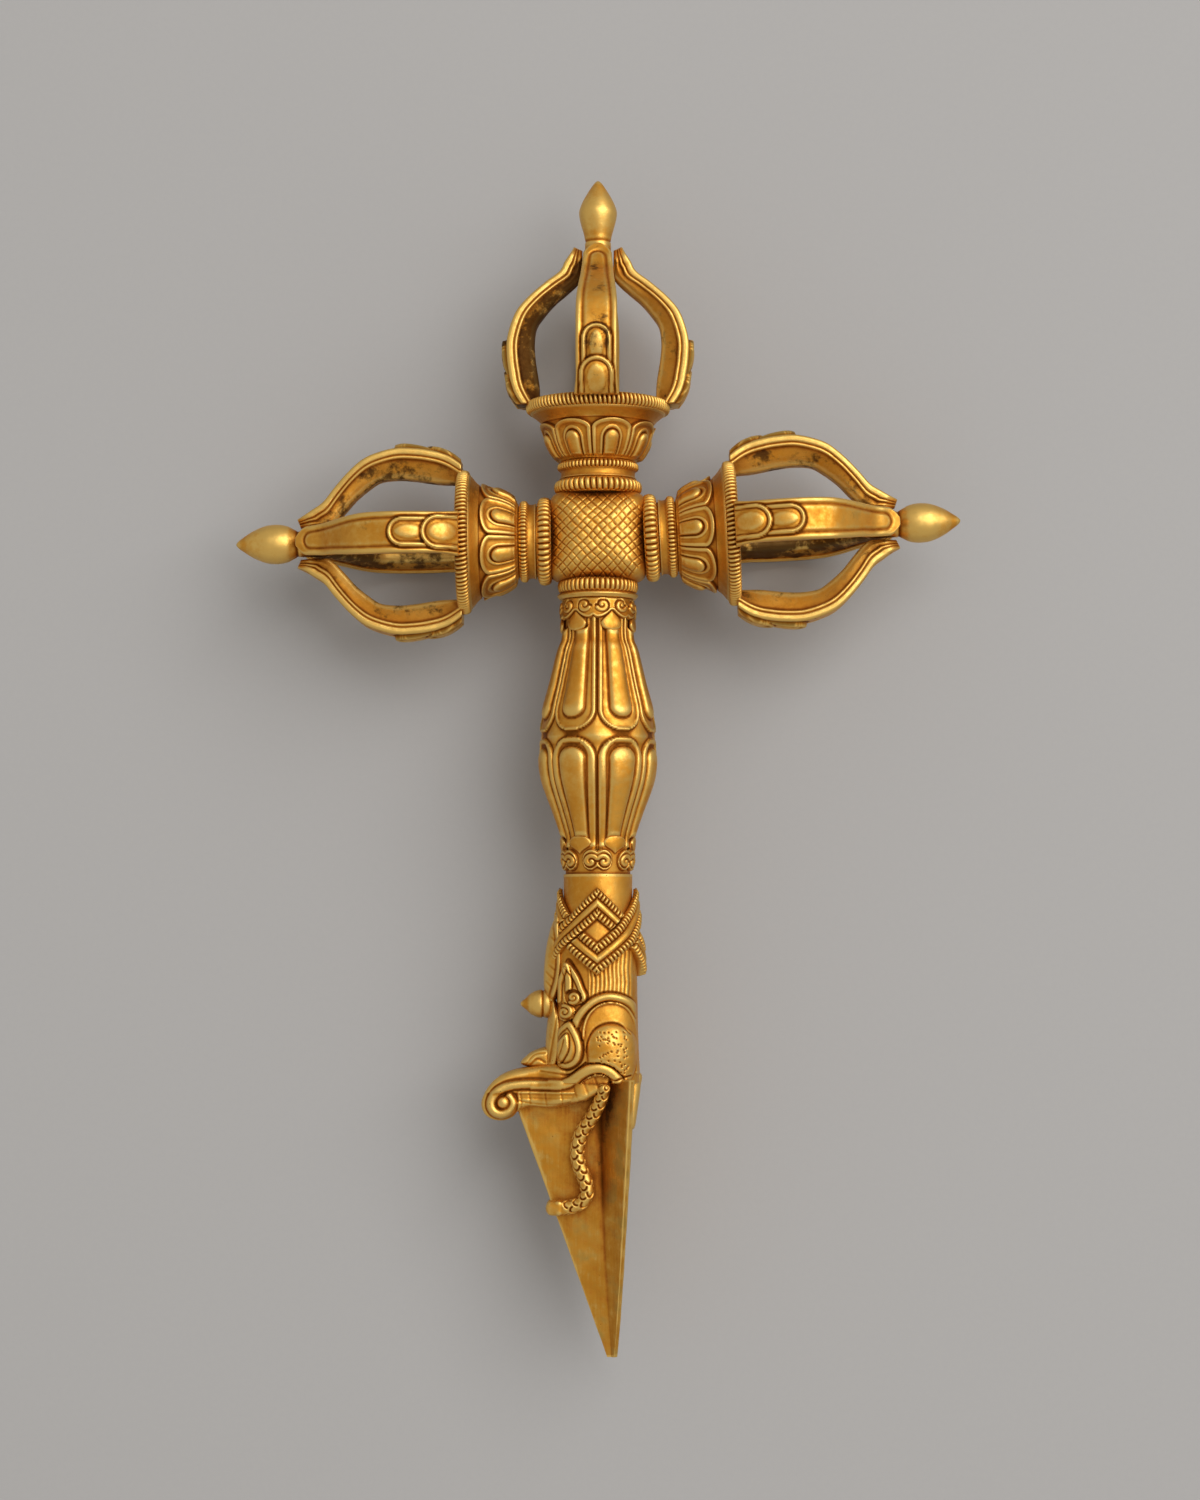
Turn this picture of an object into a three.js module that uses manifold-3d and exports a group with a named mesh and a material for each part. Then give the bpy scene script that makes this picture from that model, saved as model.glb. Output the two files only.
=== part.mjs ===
// Phurba: a three-edged ritual dagger of gilt copper alloy with a crossed-vajra head.
// It lies on its back: the long axis runs along Y with the top finial at +Y, the blade tip at -Y,
// the makara's snout at -X, and the front of the photograph's view at +Z.
// Every arm of the cross is drawn in the same frame: Y outwards from the crossing centre,
// Z to the front. The heads and the handle are then turned about Z to their own arm.
import * as THREE from 'three';
import { mergeVertices } from 'three/addons/utils/BufferGeometryUtils.js';
import Module from 'manifold-3d';

const wasm = await Module();
wasm.setup();

// Driving dimensions, in millimetres. A height is measured outwards from the crossing centre.
const fit = 0.3; // clearance between neighbouring pieces
const topReach = 76.8; // crossing centre to the tip of the top finial
const sideReach = 76.4; // crossing centre to the tip of a side finial
const bladeReach = 170.4; // crossing centre to the blade tip
const rightArmTilt = 3.1; // degrees that the right head stands up from square
const leftArmTilt = -0.5; // degrees that the left head stands up from square
const restReach = 20.9; // axis to the outermost face of the front and back prongs
const sideCageReach = 21.0; // axis to the outermost face of the side heads' other prongs
const topCageReach = 20.5; // the same for the top head

// Crossing block
const blockHalfWidth = 9.4; // centre to the seats of the three heads
const blockLowerHalf = 8.1; // centre to the seat of the grip
const blockHalfDepth = 9.8;
const blockSquareness = 6; // exponent of the outline, 2 is round
const blockCrown = 3; // exponent of the crown over the faces, 2 is round
const tenonRadius = 5.6;
const tenonHeight = 19.4; // reach of a head's tenon

// Ribbed collar and beaded neck of each head
const collarWidth = 3.0;
const collarRadius = 9.6;
const spoolWidth = 1.6;
const spoolRadius = 8.1;
const thinBeadWidth = 1.8;
const thinBeadRadius = 8.9;
const pinRadius = 0.7;
const pinAzimuth = 40; // degrees round from the front
const pinDepth = 4.2; // length of pin below the neck's surface
const pinSunk = 0.6; // how far the pin's end lies under that surface

// Lotus cup and beaded rim of each head
const cupFootRadius = 8.6;
const cupBellyRadius = 11.9;
const cupLipRadius = 14.2;
const cupHeight = 10.1;
const petalCount = 8;
const cupPetalBulge = 0.45;
const rimWidth = 2.1;
const rimRadius = 15.3;

// Prongs of each head
const prongFootRadius = 16.9; // outer face at the foot
const prongFootInner = 10.8; // inner edge at the foot
const prongBellyInner = 13.9; // inner edge at the widest place
const cageHeight = 33.9; // foot to tip along the axis
const topCageHeight = 33.0;
const prongHalfWidth = 4.3;
const prongFootHalfWidth = 4.7;
const prongTipHalfWidth = 2.9;
const prongInnerHalfWidth = 2.3;
const prongWall = 2.0; // depth of the side wall under the outer face
const leafStep = 0.6; // height of the two leaf ends on the outer face
const hubRadius = 3.0;

// Spindle and finial bud of each head
const spindleRadius = 2.2;
const spindleDepth = 4.0; // how far the spindle goes into the cup
const budNeckRadius = 2.8;
const budRadius = 4.15;
const budLength = 12.6;

// Handle: every piece is threaded on the blade's tang
const tangRadius = 2.6;
const tangDepth = 6.4; // how far the tang goes into the crossing block
const gripCollarWidth = 2.4;
const gripCollarRadius = 8.1;
const mouldingWidth = 1.5;
const mouldingRadius = 8.7;
const cloudPlate = 3.1; // solid end of a cloud collar
const cloudLobe = 2.4; // how far a lobe reaches past the notches
const cloudWall = 0.9;
const upperCloudLength = 8.3;
const upperCloudRadius = 7.4;
const upperCloudFlare = 0.5;
const gripUpperRadius = 7.4;
const gripWaistRadius = 12.1;
const gripLowerRadius = 8.0;
const gripUpperLength = 21.0; // upper petals
const gripLowerLength = 20.2; // lower petals
const gripPetalBulge = 0.6;
const lowerCloudLength = 8.3;
const lowerCloudRadius = 8.0;
const lowerCloudTaper = 0.5;
const ferruleRadius = 7.1;
const ferruleLength = 14.2;

// Knot band round the lower end of the ferrule and the makara's nape
const knotLength = 18.2; // from an upper point to the lower point under it
const knotOverlap = 11.6; // length of the band above the ferrule's lower end
const knotUpperRadius = 8.6;
const knotLowerRadius = 10.3;
const knotUpperZigzag = 5.8;
const knotLowerZigzag = 6.4;
const knotCount = 4;

// Makara head
const headLength = 27.3;
const headHalfDepth = 9.0;
const napeReach = 8.6;
const snoutReach = 8.6;
const crestLength = 30.2;
const crestReach = 12.0;
const crestHalfWidth = 3.0;
const crestFoot = 3.2; // how far the crest ends above the head's lower end
const trunkReach = 24.6;
const trunkHalfWidth = 4.2;
const browHeight = 2.6; // how far the trunk's top lies above the head's lower end
const gumDepth = 5.0;
const gumInner = 4.8; // axis to the gum's inner end
const scrollRadius = 4.3;
const leafHeight = 3.4; // small leaf on the trunk, in front of the crest
const nubRadius = 2.9;
const nubLength = 4.1;
const nubHeight = 14.4; // above the head's lower end
const jawLength = 10.5;
const jawThickness = 3.5;
const jawHalfWidth = 3.0;

// Blade
const snoutFinReach = 18.2; // axis to the edge of the fin under the snout, at its root
const rearFinReach = 11.8; // axis to the edges of the two other fins, at their roots
const tipFinReach = 1.2;
const finEdge = 1.5; // thickness of a fin's edge
const tipEdge = 1.0;
const finSwell = 0.45; // extra half thickness of a fin half way to its edge
const rootHollow = 2.2; // axis to the valley between fins, at the root
const hollowSwell = 1.6; // how much further the valley stands off half way down
const tipHollow = 0.9;
const rootLean = 0.6; // sideways offset of the blade's axis at the root
const tipLean = 2.9; // and at the tip, away from the snout
const serpentRadius = 1.45;
const serpentDrop = 27.0; // from the head's lower end down to the serpent's own head
const serpentReach = 10.8; // and from the blade's axis out to it

const hole = tangRadius + fit; // bore of every piece on the tang
const degrees = Math.PI / 180;

// Closed bodies

// Turns a list of triangle corners into a geometry whose faces point outwards.
function closedGeometry(points, triangles) {
  let volume = 0;
  for (const [a, b, c] of triangles) {
    volume += points[a].dot(new THREE.Vector3().crossVectors(points[b], points[c]));
  }
  const ordered = volume < 0 ? triangles.map(([a, b, c]) => [a, c, b]) : triangles;
  const geometry = new THREE.BufferGeometry();
  const places = points.flatMap((point) => point.toArray());
  geometry.setAttribute('position', new THREE.Float32BufferAttribute(places, 3));
  geometry.setIndex(ordered.flat());
  return geometry;
}

// A body through rings of points, with a fan over each end.
function loft(rings) {
  const count = rings[0].length;
  const points = rings.flat();
  const triangles = [];
  for (let ring = 0; ring < rings.length - 1; ring++) {
    for (let i = 0; i < count; i++) {
      const a = ring * count + i;
      const b = ring * count + ((i + 1) % count);
      triangles.push([a, b, b + count], [a, b + count, a + count]);
    }
  }
  for (const [ring, start] of [[rings[0], 0], [rings.at(-1), (rings.length - 1) * count]]) {
    const middle = ring.reduce((sum, p) => sum.add(p), new THREE.Vector3()).divideScalar(count);
    points.push(middle);
    for (let i = 0; i < count; i++) {
      const edge = [start + i, start + ((i + 1) % count)];
      if (start === 0) edge.reverse();
      triangles.push([...edge, points.length - 1]);
    }
  }
  return closedGeometry(points, triangles);
}

// A turned piece: profile points are [radius, height], up the outside.
function turned(profile, sides) {
  const corners = profile.map(([radius, height]) => new THREE.Vector2(radius, height));
  return new THREE.LatheGeometry(corners, sides);
}

// The same for a ring, whose profile comes back to its first point.
function turnedRing(profile, sides) {
  return turned([...profile, profile[0]], sides);
}

// Moves every point of a turned piece: change(radius, height, azimuth) gives the new radius and height.
function reshaped(geometry, change) {
  const position = geometry.getAttribute('position');
  for (let i = 0; i < position.count; i++) {
    const x = position.getX(i);
    const z = position.getZ(i);
    const radius = Math.hypot(x, z);
    if (radius < 1e-6) continue;
    const [newRadius, height] = change(radius, position.getY(i), Math.atan2(x, z));
    position.setXYZ(i, (x * newRadius) / radius, height, (z * newRadius) / radius);
  }
  return geometry;
}

// Only the positions, with shared corners merged and collapsed triangles left out.
function bareMesh(geometry) {
  const bare = new THREE.BufferGeometry();
  bare.setAttribute('position', geometry.getAttribute('position'));
  bare.setIndex(geometry.index);
  const merged = mergeVertices(bare, 1e-4);
  const kept = [];
  for (let i = 0; i < merged.index.count; i += 3) {
    const [a, b, c] = [0, 1, 2].map((k) => merged.index.getX(i + k));
    if (a !== b && b !== c && c !== a) kept.push(a, b, c);
  }
  merged.setIndex(kept);
  return merged;
}

function solidOf(geometry) {
  const mesh = bareMesh(geometry);
  return new wasm.Manifold(new wasm.Mesh({
    numProp: 3,
    vertProperties: new Float32Array(mesh.getAttribute('position').array),
    triVerts: new Uint32Array(mesh.index.array),
  }));
}

function geometryOf(solid) {
  const mesh = solid.getMesh();
  const geometry = new THREE.BufferGeometry();
  geometry.setAttribute('position', new THREE.BufferAttribute(mesh.vertProperties, 3));
  geometry.setIndex(new THREE.BufferAttribute(mesh.triVerts, 1));
  return geometry;
}

function join(...geometries) {
  return geometryOf(geometries.map(solidOf).reduce((all, solid) => all.add(solid)));
}

function cut(geometry, ...tools) {
  return geometryOf(tools.map(solidOf).reduce((rest, tool) => rest.subtract(tool), solidOf(geometry)));
}

const mix = THREE.MathUtils.lerp;

// Finishes

function metal(name, color, roughness) {
  return new THREE.MeshStandardMaterial({ name, color, roughness, metalness: 1 });
}

const gilt = metal('gilt', '#c9a03a', 0.32);
const darkGilt = metal('worn_gilt', '#a9782c', 0.42);
const bareCopper = metal('pin_metal', '#5c4327', 0.6);

function piece(name, geometry, material = gilt) {
  const mesh = new THREE.Mesh(geometry, material);
  mesh.name = name;
  return mesh;
}

// Heights of the pieces on a head's axis

const collarBottom = blockHalfWidth + fit;
const neckBottom = collarBottom + collarWidth + fit;
const neckTop = neckBottom + spoolWidth + thinBeadWidth;
const cupBottom = neckTop + fit;
const cupTop = cupBottom + cupHeight;
const rimBottom = cupTop + fit;
const rimTop = rimBottom + rimWidth;
const prongBottom = rimTop + fit;
const pinHeight = neckBottom + spoolWidth / 2;

// A pinlike rod that points outwards from the axis, round from the front.
function radialRod(radius, from, to, sides) {
  return new THREE.CylinderGeometry(radius, radius, to - from, sides)
    .rotateX(Math.PI / 2)
    .translate(0, 0, (from + to) / 2)
    .rotateY(pinAzimuth * degrees)
    .translate(0, pinHeight, 0);
}

const pinInner = spoolRadius - pinSunk - pinDepth;

function pinHole() {
  return radialRod(pinRadius + fit, pinInner - fit, collarRadius, 8);
}

function bead(inner, foot, outer, from, width) {
  return [
    [inner, from],
    [foot, from],
    [outer, from + width * 0.3],
    [outer, from + width * 0.7],
    [foot, from + width],
    [inner, from + width],
  ];
}

function ribbedCollar() {
  const section = bead(tenonRadius + fit, collarRadius - 1.3, collarRadius, collarBottom, collarWidth);
  return turnedRing(section, 24);
}

function beadedNeck() {
  const inner = tenonRadius + fit;
  const beadBottom = neckBottom + spoolWidth;
  const neck = turnedRing([
    [inner, neckBottom],
    [spoolRadius + 0.2, neckBottom],
    [spoolRadius, neckBottom + spoolWidth / 2],
    [spoolRadius + 0.1, beadBottom],
    [thinBeadRadius, beadBottom + thinBeadWidth * 0.35],
    [thinBeadRadius, beadBottom + thinBeadWidth * 0.65],
    [spoolRadius + 0.3, neckTop],
    [inner, neckTop],
  ], 24);
  return cut(neck, pinHole());
}

// Eight petals swell between their boundary lines, one of which faces the front.
function petalSwell(azimuth) {
  return Math.abs(Math.sin((petalCount * azimuth) / 2)) - 0.5;
}

function lotusCup() {
  const socket = tenonRadius + fit;
  const seat = spindleRadius + fit;
  const outside = [
    [cupFootRadius, 0],
    [mix(cupFootRadius, cupBellyRadius, 0.45), 0.09],
    [mix(cupFootRadius, cupBellyRadius, 0.8), 0.25],
    [cupBellyRadius, 0.45],
    [mix(cupBellyRadius, cupLipRadius, 0.3), 0.76],
    [cupLipRadius, 1],
  ].map(([radius, share]) => [radius, cupBottom + share * cupHeight]);
  const cup = turned([
    [0, tenonHeight + fit],
    [socket, tenonHeight + fit],
    [socket, cupBottom],
    ...outside,
    [seat, cupTop],
    [seat, cupTop - spindleDepth],
    [0, cupTop - spindleDepth],
  ], 32);
  return reshaped(cup, (radius, height, azimuth) => {
    const share = (height - cupBottom) / cupHeight;
    const fade = radius < cupFootRadius - 0.1 ? 0 : Math.sin(Math.PI * THREE.MathUtils.clamp(share, 0, 1));
    return [radius + cupPetalBulge * fade * petalSwell(azimuth), height];
  });
}

function beadedRim() {
  return turnedRing([
    [spindleRadius + fit, rimBottom],
    [cupLipRadius - 0.2, rimBottom],
    [rimRadius, rimBottom + rimWidth * 0.3],
    [rimRadius, rimBottom + rimWidth * 0.7],
    [cupLipRadius, rimTop],
    [spindleRadius + fit, rimTop],
  ], 28);
}

// A prong's sections, from foot to tip: height share, outer radius and half width on the outside,
// height share and radius of the inner edge.
function prongSections(reach) {
  const stepped = reach - leafStep;
  const tip = hubRadius + fit;
  const lowInner = mix(prongFootInner, prongBellyInner, 0.14);
  return [
    [0.0, prongFootRadius, prongFootHalfWidth, 0.0, prongFootInner],
    [0.077, mix(prongFootRadius, reach, 0.5), prongHalfWidth, 0.106, lowInner],
    [0.171, reach - 0.35, prongHalfWidth, 0.195, mix(prongFootInner, prongBellyInner, 0.5)],
    [0.18, reach - 0.35 - leafStep, prongHalfWidth, 0.204, mix(prongFootInner, prongBellyInner, 0.53)],
    [0.268, reach, prongHalfWidth, 0.268, mix(prongFootInner, prongBellyInner, 0.8)],
    [0.378, reach, prongHalfWidth, 0.366, prongBellyInner],
    [0.389, stepped, prongHalfWidth, 0.38, prongBellyInner],
    [0.49, stepped - 0.9, prongHalfWidth, 0.475, prongBellyInner - 0.4],
    [0.584, stepped - 2.3, prongHalfWidth - 0.1, 0.549, prongBellyInner - 1.9],
    [0.675, stepped - 4.9, prongHalfWidth - 0.4, 0.631, prongBellyInner - 4.2],
    [0.761, stepped - 8.1, prongHalfWidth - 0.8, 0.702, prongBellyInner - 6.9],
    [0.832, stepped - 11.1, prongHalfWidth - 1.0, 0.764, mix(tip, prongBellyInner, 0.1)],
    [0.897, mix(tip, reach, 0.21), prongTipHalfWidth + 0.2, 0.814, tip],
    [0.95, mix(tip, reach, 0.145), prongTipHalfWidth, 0.903, tip],
    [1.0, mix(tip, reach, 0.105), prongTipHalfWidth - 0.9, 0.979, tip],
  ];
}

function prong(reach, length) {
  return loft(prongSections(reach).map(([outerShare, outer, halfWidth, innerShare, inner]) => {
    const outside = new THREE.Vector2(prongBottom + outerShare * length, outer);
    const inside = new THREE.Vector2(prongBottom + innerShare * length, inner);
    const depth = outside.distanceTo(inside);
    const wall = outside.clone().lerp(inside, Math.min(prongWall / depth, 0.5));
    const innerHalf = Math.min(prongInnerHalfWidth, halfWidth - 0.4);
    return [
      new THREE.Vector3(-halfWidth, outside.x, outside.y),
      new THREE.Vector3(halfWidth, outside.x, outside.y),
      new THREE.Vector3(halfWidth, wall.x, wall.y),
      new THREE.Vector3(innerHalf, inside.x, inside.y),
      new THREE.Vector3(-innerHalf, inside.x, inside.y),
      new THREE.Vector3(-halfWidth, wall.x, wall.y),
    ];
  }));
}

function finialSpindle(reach, length) {
  const foot = cupTop - spindleDepth + fit;
  const hubBottom = prongBottom + length * 0.76;
  const neck = reach - budLength;
  return turned([
    [0, foot],
    [spindleRadius, foot],
    [spindleRadius, hubBottom],
    [hubRadius, hubBottom + 1.2],
    [hubRadius, neck - 0.9],
    [budNeckRadius, neck],
    [mix(budNeckRadius, budRadius, 0.7), neck + budLength * 0.09],
    [budRadius, neck + budLength * 0.27],
    [budRadius - 0.2, neck + budLength * 0.42],
    [budRadius * 0.77, neck + budLength * 0.62],
    [budRadius * 0.48, neck + budLength * 0.81],
    [budRadius * 0.22, neck + budLength * 0.95],
    [0, reach],
  ], 12);
}

// One vajra head; the two side names say where its +X and -X prongs lie on the whole dagger.
function vajraHead(name, turn, reach, cageReach, length, plusSide, minusSide) {
  const head = new THREE.Group();
  head.rotation.z = turn * degrees;
  head.add(piece(`${name}_ribbed_collar`, ribbedCollar()));
  head.add(piece(`${name}_beaded_neck`, beadedNeck()));
  head.add(piece(`${name}_lotus_cup`, lotusCup()));
  head.add(piece(`${name}_beaded_rim`, beadedRim()));
  const pin = radialRod(pinRadius, pinInner, spoolRadius - pinSunk, 10);
  head.add(piece(`${name}_neck_pin`, pin, bareCopper));
  head.add(piece(`${name}_finial_spindle`, finialSpindle(reach, length)));
  const places = [
    ['front', 0, restReach],
    [plusSide, 90, cageReach],
    ['back', 180, restReach],
    [minusSide, -90, cageReach],
  ];
  for (const [side, azimuth, prongReach] of places) {
    const mesh = piece(`${name}_prong_${side}`, prong(prongReach, length), darkGilt);
    mesh.rotation.y = azimuth * degrees;
    head.add(mesh);
  }
  return head;
}

const headTurns = { top: 0, left: 90 - leftArmTilt, right: -90 + rightArmTilt };

// Crossing block: a square pillow with three tenons, three pin holes and a socket for the tang.
function crossingBlock() {
  const pillow = new THREE.BoxGeometry(2, 2, 2, 6, 6, 6);
  const position = pillow.getAttribute('position');
  for (let i = 0; i < position.count; i++) {
    const [x, y, z] = [position.getX(i), position.getY(i), position.getZ(i)];
    const power = blockSquareness;
    const outline = (Math.abs(x) ** power + Math.abs(y) ** power) ** (1 / power);
    const size = (outline ** blockCrown + Math.abs(z) ** blockCrown) ** (1 / blockCrown);
    const half = y > 0 ? blockHalfWidth : blockLowerHalf;
    position.setXYZ(i, (x / size) * blockHalfWidth, (y / size) * half, (z / size) * blockHalfDepth);
  }
  const tenons = [];
  const holes = [];
  for (const turn of Object.values(headTurns)) {
    const tenon = new THREE.CylinderGeometry(tenonRadius, tenonRadius, tenonHeight, 20);
    tenons.push(tenon.translate(0, tenonHeight / 2, 0).rotateZ(turn * degrees));
    holes.push(pinHole().rotateZ(turn * degrees));
  }
  const socketTop = blockLowerHalf - tangDepth - fit;
  const socketDepth = blockLowerHalf + 1 - socketTop;
  const socket = new THREE.CylinderGeometry(hole, hole, socketDepth, 20);
  socket.translate(0, -socketTop - socketDepth / 2, 0);
  return cut(join(pillow, ...tenons), socket, ...holes);
}

// Heights of the pieces on the handle's axis

const gripCollarBottom = blockLowerHalf + fit;
const upperCloudBottom = gripCollarBottom + gripCollarWidth + mouldingWidth + fit;
const gripBottom = upperCloudBottom + cloudPlate + fit;
const upperCloudTop = upperCloudBottom + upperCloudLength;
const waist = upperCloudTop + gripUpperLength;
const lowerCloudBottom = waist + gripLowerLength;
const lowerCloudTop = lowerCloudBottom + lowerCloudLength;
const gripTop = lowerCloudTop - cloudPlate - fit;
const ferruleBottom = lowerCloudTop + fit;
const ferruleTop = ferruleBottom + ferruleLength;
const headBottom = ferruleTop + fit;
const headTop = headBottom + headLength;
const bladeRoot = headTop + fit;
const gumTop = bladeRoot + gumDepth;

// The handle's eight petals are wider at the front and back than at the sides.
const sidePetalSqueeze = 5.6 * degrees;

function handleAzimuth(azimuth) {
  return azimuth - sidePetalSqueeze * Math.sin(2 * azimuth);
}

function gripCollar() {
  return turnedRing([
    [hole, gripCollarBottom],
    [gripCollarRadius - 0.9, gripCollarBottom],
    [gripCollarRadius, gripCollarBottom + gripCollarWidth * 0.3],
    [gripCollarRadius, gripCollarBottom + gripCollarWidth * 0.7],
    [gripCollarRadius - 0.5, gripCollarBottom + gripCollarWidth],
    [mouldingRadius, gripCollarBottom + gripCollarWidth + mouldingWidth * 0.5],
    [mouldingRadius - 0.8, gripCollarBottom + gripCollarWidth + mouldingWidth],
    [hole, gripCollarBottom + gripCollarWidth + mouldingWidth],
  ], 24);
}

// Lobes of a cloud collar hang over the petals, and its notches over the petal boundaries.
function lobeNotch(azimuth) {
  return cloudLobe * (1 - Math.abs(Math.sin((petalCount * handleAzimuth(azimuth)) / 2)));
}

function upperCloudCollar() {
  const inside = upperCloudRadius - cloudWall + 0.3;
  const flared = upperCloudRadius + upperCloudFlare;
  const collar = turnedRing([
    [hole, upperCloudBottom],
    [upperCloudRadius - 0.2, upperCloudBottom],
    [mix(upperCloudRadius, flared, 0.5), mix(upperCloudBottom, upperCloudTop, 0.5)],
    [flared, upperCloudTop],
    [inside, upperCloudTop],
    [inside, upperCloudBottom + cloudPlate],
    [hole, upperCloudBottom + cloudPlate],
  ], 32);
  return reshaped(collar, (radius, height, azimuth) => (
    [radius, height > upperCloudTop - 0.01 ? height - lobeNotch(azimuth) : height]
  ));
}

function lowerCloudCollar() {
  const inside = lowerCloudRadius - cloudWall;
  const tapered = lowerCloudRadius - lowerCloudTaper;
  const plate = lowerCloudTop - cloudPlate;
  const collar = turnedRing([
    [inside, lowerCloudBottom],
    [lowerCloudRadius, lowerCloudBottom],
    [mix(lowerCloudRadius, tapered, 0.3), mix(lowerCloudBottom, lowerCloudTop, 0.5)],
    [tapered, lowerCloudTop],
    [hole, lowerCloudTop],
    [hole, plate],
    [inside, plate],
  ], 32);
  return reshaped(collar, (radius, height, azimuth) => (
    [radius, height < lowerCloudBottom + 0.01 ? height + lobeNotch(azimuth) : height]
  ));
}

// Grip: two rows of petals that meet at the waist, with a neck at each end inside its cloud collar.
function lotusGrip() {
  const upperNeck = upperCloudRadius - cloudWall;
  const lowerNeck = lowerCloudRadius - cloudWall - fit;
  const upper = [
    [gripUpperRadius - 0.1, fit / gripUpperLength],
    [mix(gripUpperRadius, gripWaistRadius, 0.22), 0.13],
    [mix(gripUpperRadius, gripWaistRadius, 0.56), 0.45],
    [mix(gripUpperRadius, gripWaistRadius, 0.84), 0.69],
    [mix(gripUpperRadius, gripWaistRadius, 0.88), 0.84],
  ].map(([radius, share]) => [radius, mix(upperCloudTop, waist, share)]);
  const lower = [
    [gripWaistRadius - 0.35, 0.1],
    [gripWaistRadius, 0.24],
    [mix(gripWaistRadius, gripLowerRadius, 0.1), 0.42],
    [mix(gripWaistRadius, gripLowerRadius, 0.34), 0.59],
    [mix(gripWaistRadius, gripLowerRadius, 0.62), 0.76],
    [gripLowerRadius + 0.1, 1 - fit / gripLowerLength],
  ].map(([radius, share]) => [radius, mix(waist, lowerCloudBottom, share)]);
  const grip = turnedRing([
    [hole, gripBottom],
    [upperNeck, gripBottom],
    [upperNeck, upperCloudTop + fit],
    ...upper,
    [gripWaistRadius, waist],
    ...lower,
    [lowerNeck, lowerCloudBottom - fit],
    [lowerNeck, gripTop],
    [hole, gripTop],
  ], 32);
  return reshaped(grip, (radius, height, azimuth) => {
    const share = height < waist
      ? (height - upperCloudTop) / gripUpperLength
      : (lowerCloudBottom - height) / gripLowerLength;
    const fade = Math.sin(Math.PI * THREE.MathUtils.clamp(share, 0, 1) ** 1.5);
    const swell = Math.abs(Math.sin((petalCount * handleAzimuth(azimuth)) / 2)) - 0.6;
    return [radius > hole + 0.1 ? radius + gripPetalBulge * fade * swell : radius, height];
  });
}

function ferrule() {
  return turnedRing([
    [hole, ferruleBottom],
    [ferruleRadius, ferruleBottom],
    [ferruleRadius, ferruleTop],
    [hole, ferruleTop],
  ], 24);
}

// Knot band: a sleeve whose ends zigzag round the shaft, points at the front, back and sides.
// grow widens it on every side, for the room that it needs in the makara's nape.
function knotBand(grow) {
  const inside = ferruleRadius + fit - grow;
  const top = ferruleTop - knotOverlap;
  const bottom = top + knotLength;
  const band = turnedRing([
    [inside, top - grow],
    [knotUpperRadius + grow, top - grow],
    [mix(knotUpperRadius, knotLowerRadius, 0.5) + grow, mix(top, bottom, 0.4)],
    [knotLowerRadius + grow, mix(top, bottom, 0.8)],
    [knotLowerRadius - 0.2 + grow, bottom + grow],
    [inside, bottom + grow],
  ], 32);
  return reshaped(band, (radius, height, azimuth) => {
    const turn = (knotCount * azimuth) / (2 * Math.PI);
    const zigzag = Math.abs(turn - Math.round(turn)) * 2;
    const share = (height - top) / knotLength;
    return [radius, height + zigzag * mix(knotUpperZigzag, -knotLowerZigzag, share)];
  });
}

// Outline in the dagger's own plane, given a rounded thickness from back to front.
function slab(shape, halfWidth, bevel) {
  const depth = 2 * (halfWidth - bevel);
  return new THREE.ExtrudeGeometry(shape, {
    depth,
    bevelThickness: bevel,
    bevelSize: bevel,
    bevelOffset: -bevel,
    bevelSegments: 1,
    curveSegments: 2,
  }).translate(0, 0, -depth / 2);
}

function outlineOf(points) {
  return new THREE.Shape(points.map(([x, y]) => new THREE.Vector2(x, y)));
}

// Forehead crest: a strip down the snout side, over the lower knot and the makara's forehead.
function foreheadCrest() {
  const inner = snoutReach + fit;
  const foot = headTop - crestFoot;
  const top = foot - crestLength;
  return slab(outlineOf([
    [inner, foot],
    [inner, top + 0.6],
    [inner + 0.8, top],
    [crestReach - 1.2, top + crestLength * 0.2],
    [crestReach - 0.2, top + crestLength * 0.42],
    [crestReach, top + crestLength * 0.63],
    [crestReach - 0.3, top + crestLength * 0.82],
    [crestReach, foot - 0.9],
    [crestReach - 0.6, foot],
  ]), crestHalfWidth, 0.3);
}

function crestRoom() {
  const inner = snoutReach;
  const top = headTop - crestFoot - crestLength - fit;
  const size = [crestReach - inner + 2, headTop - top, 2 * (crestHalfWidth + fit)];
  return new THREE.BoxGeometry(...size).translate(inner + size[0] / 2, (top + headTop) / 2, 0);
}

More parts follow.
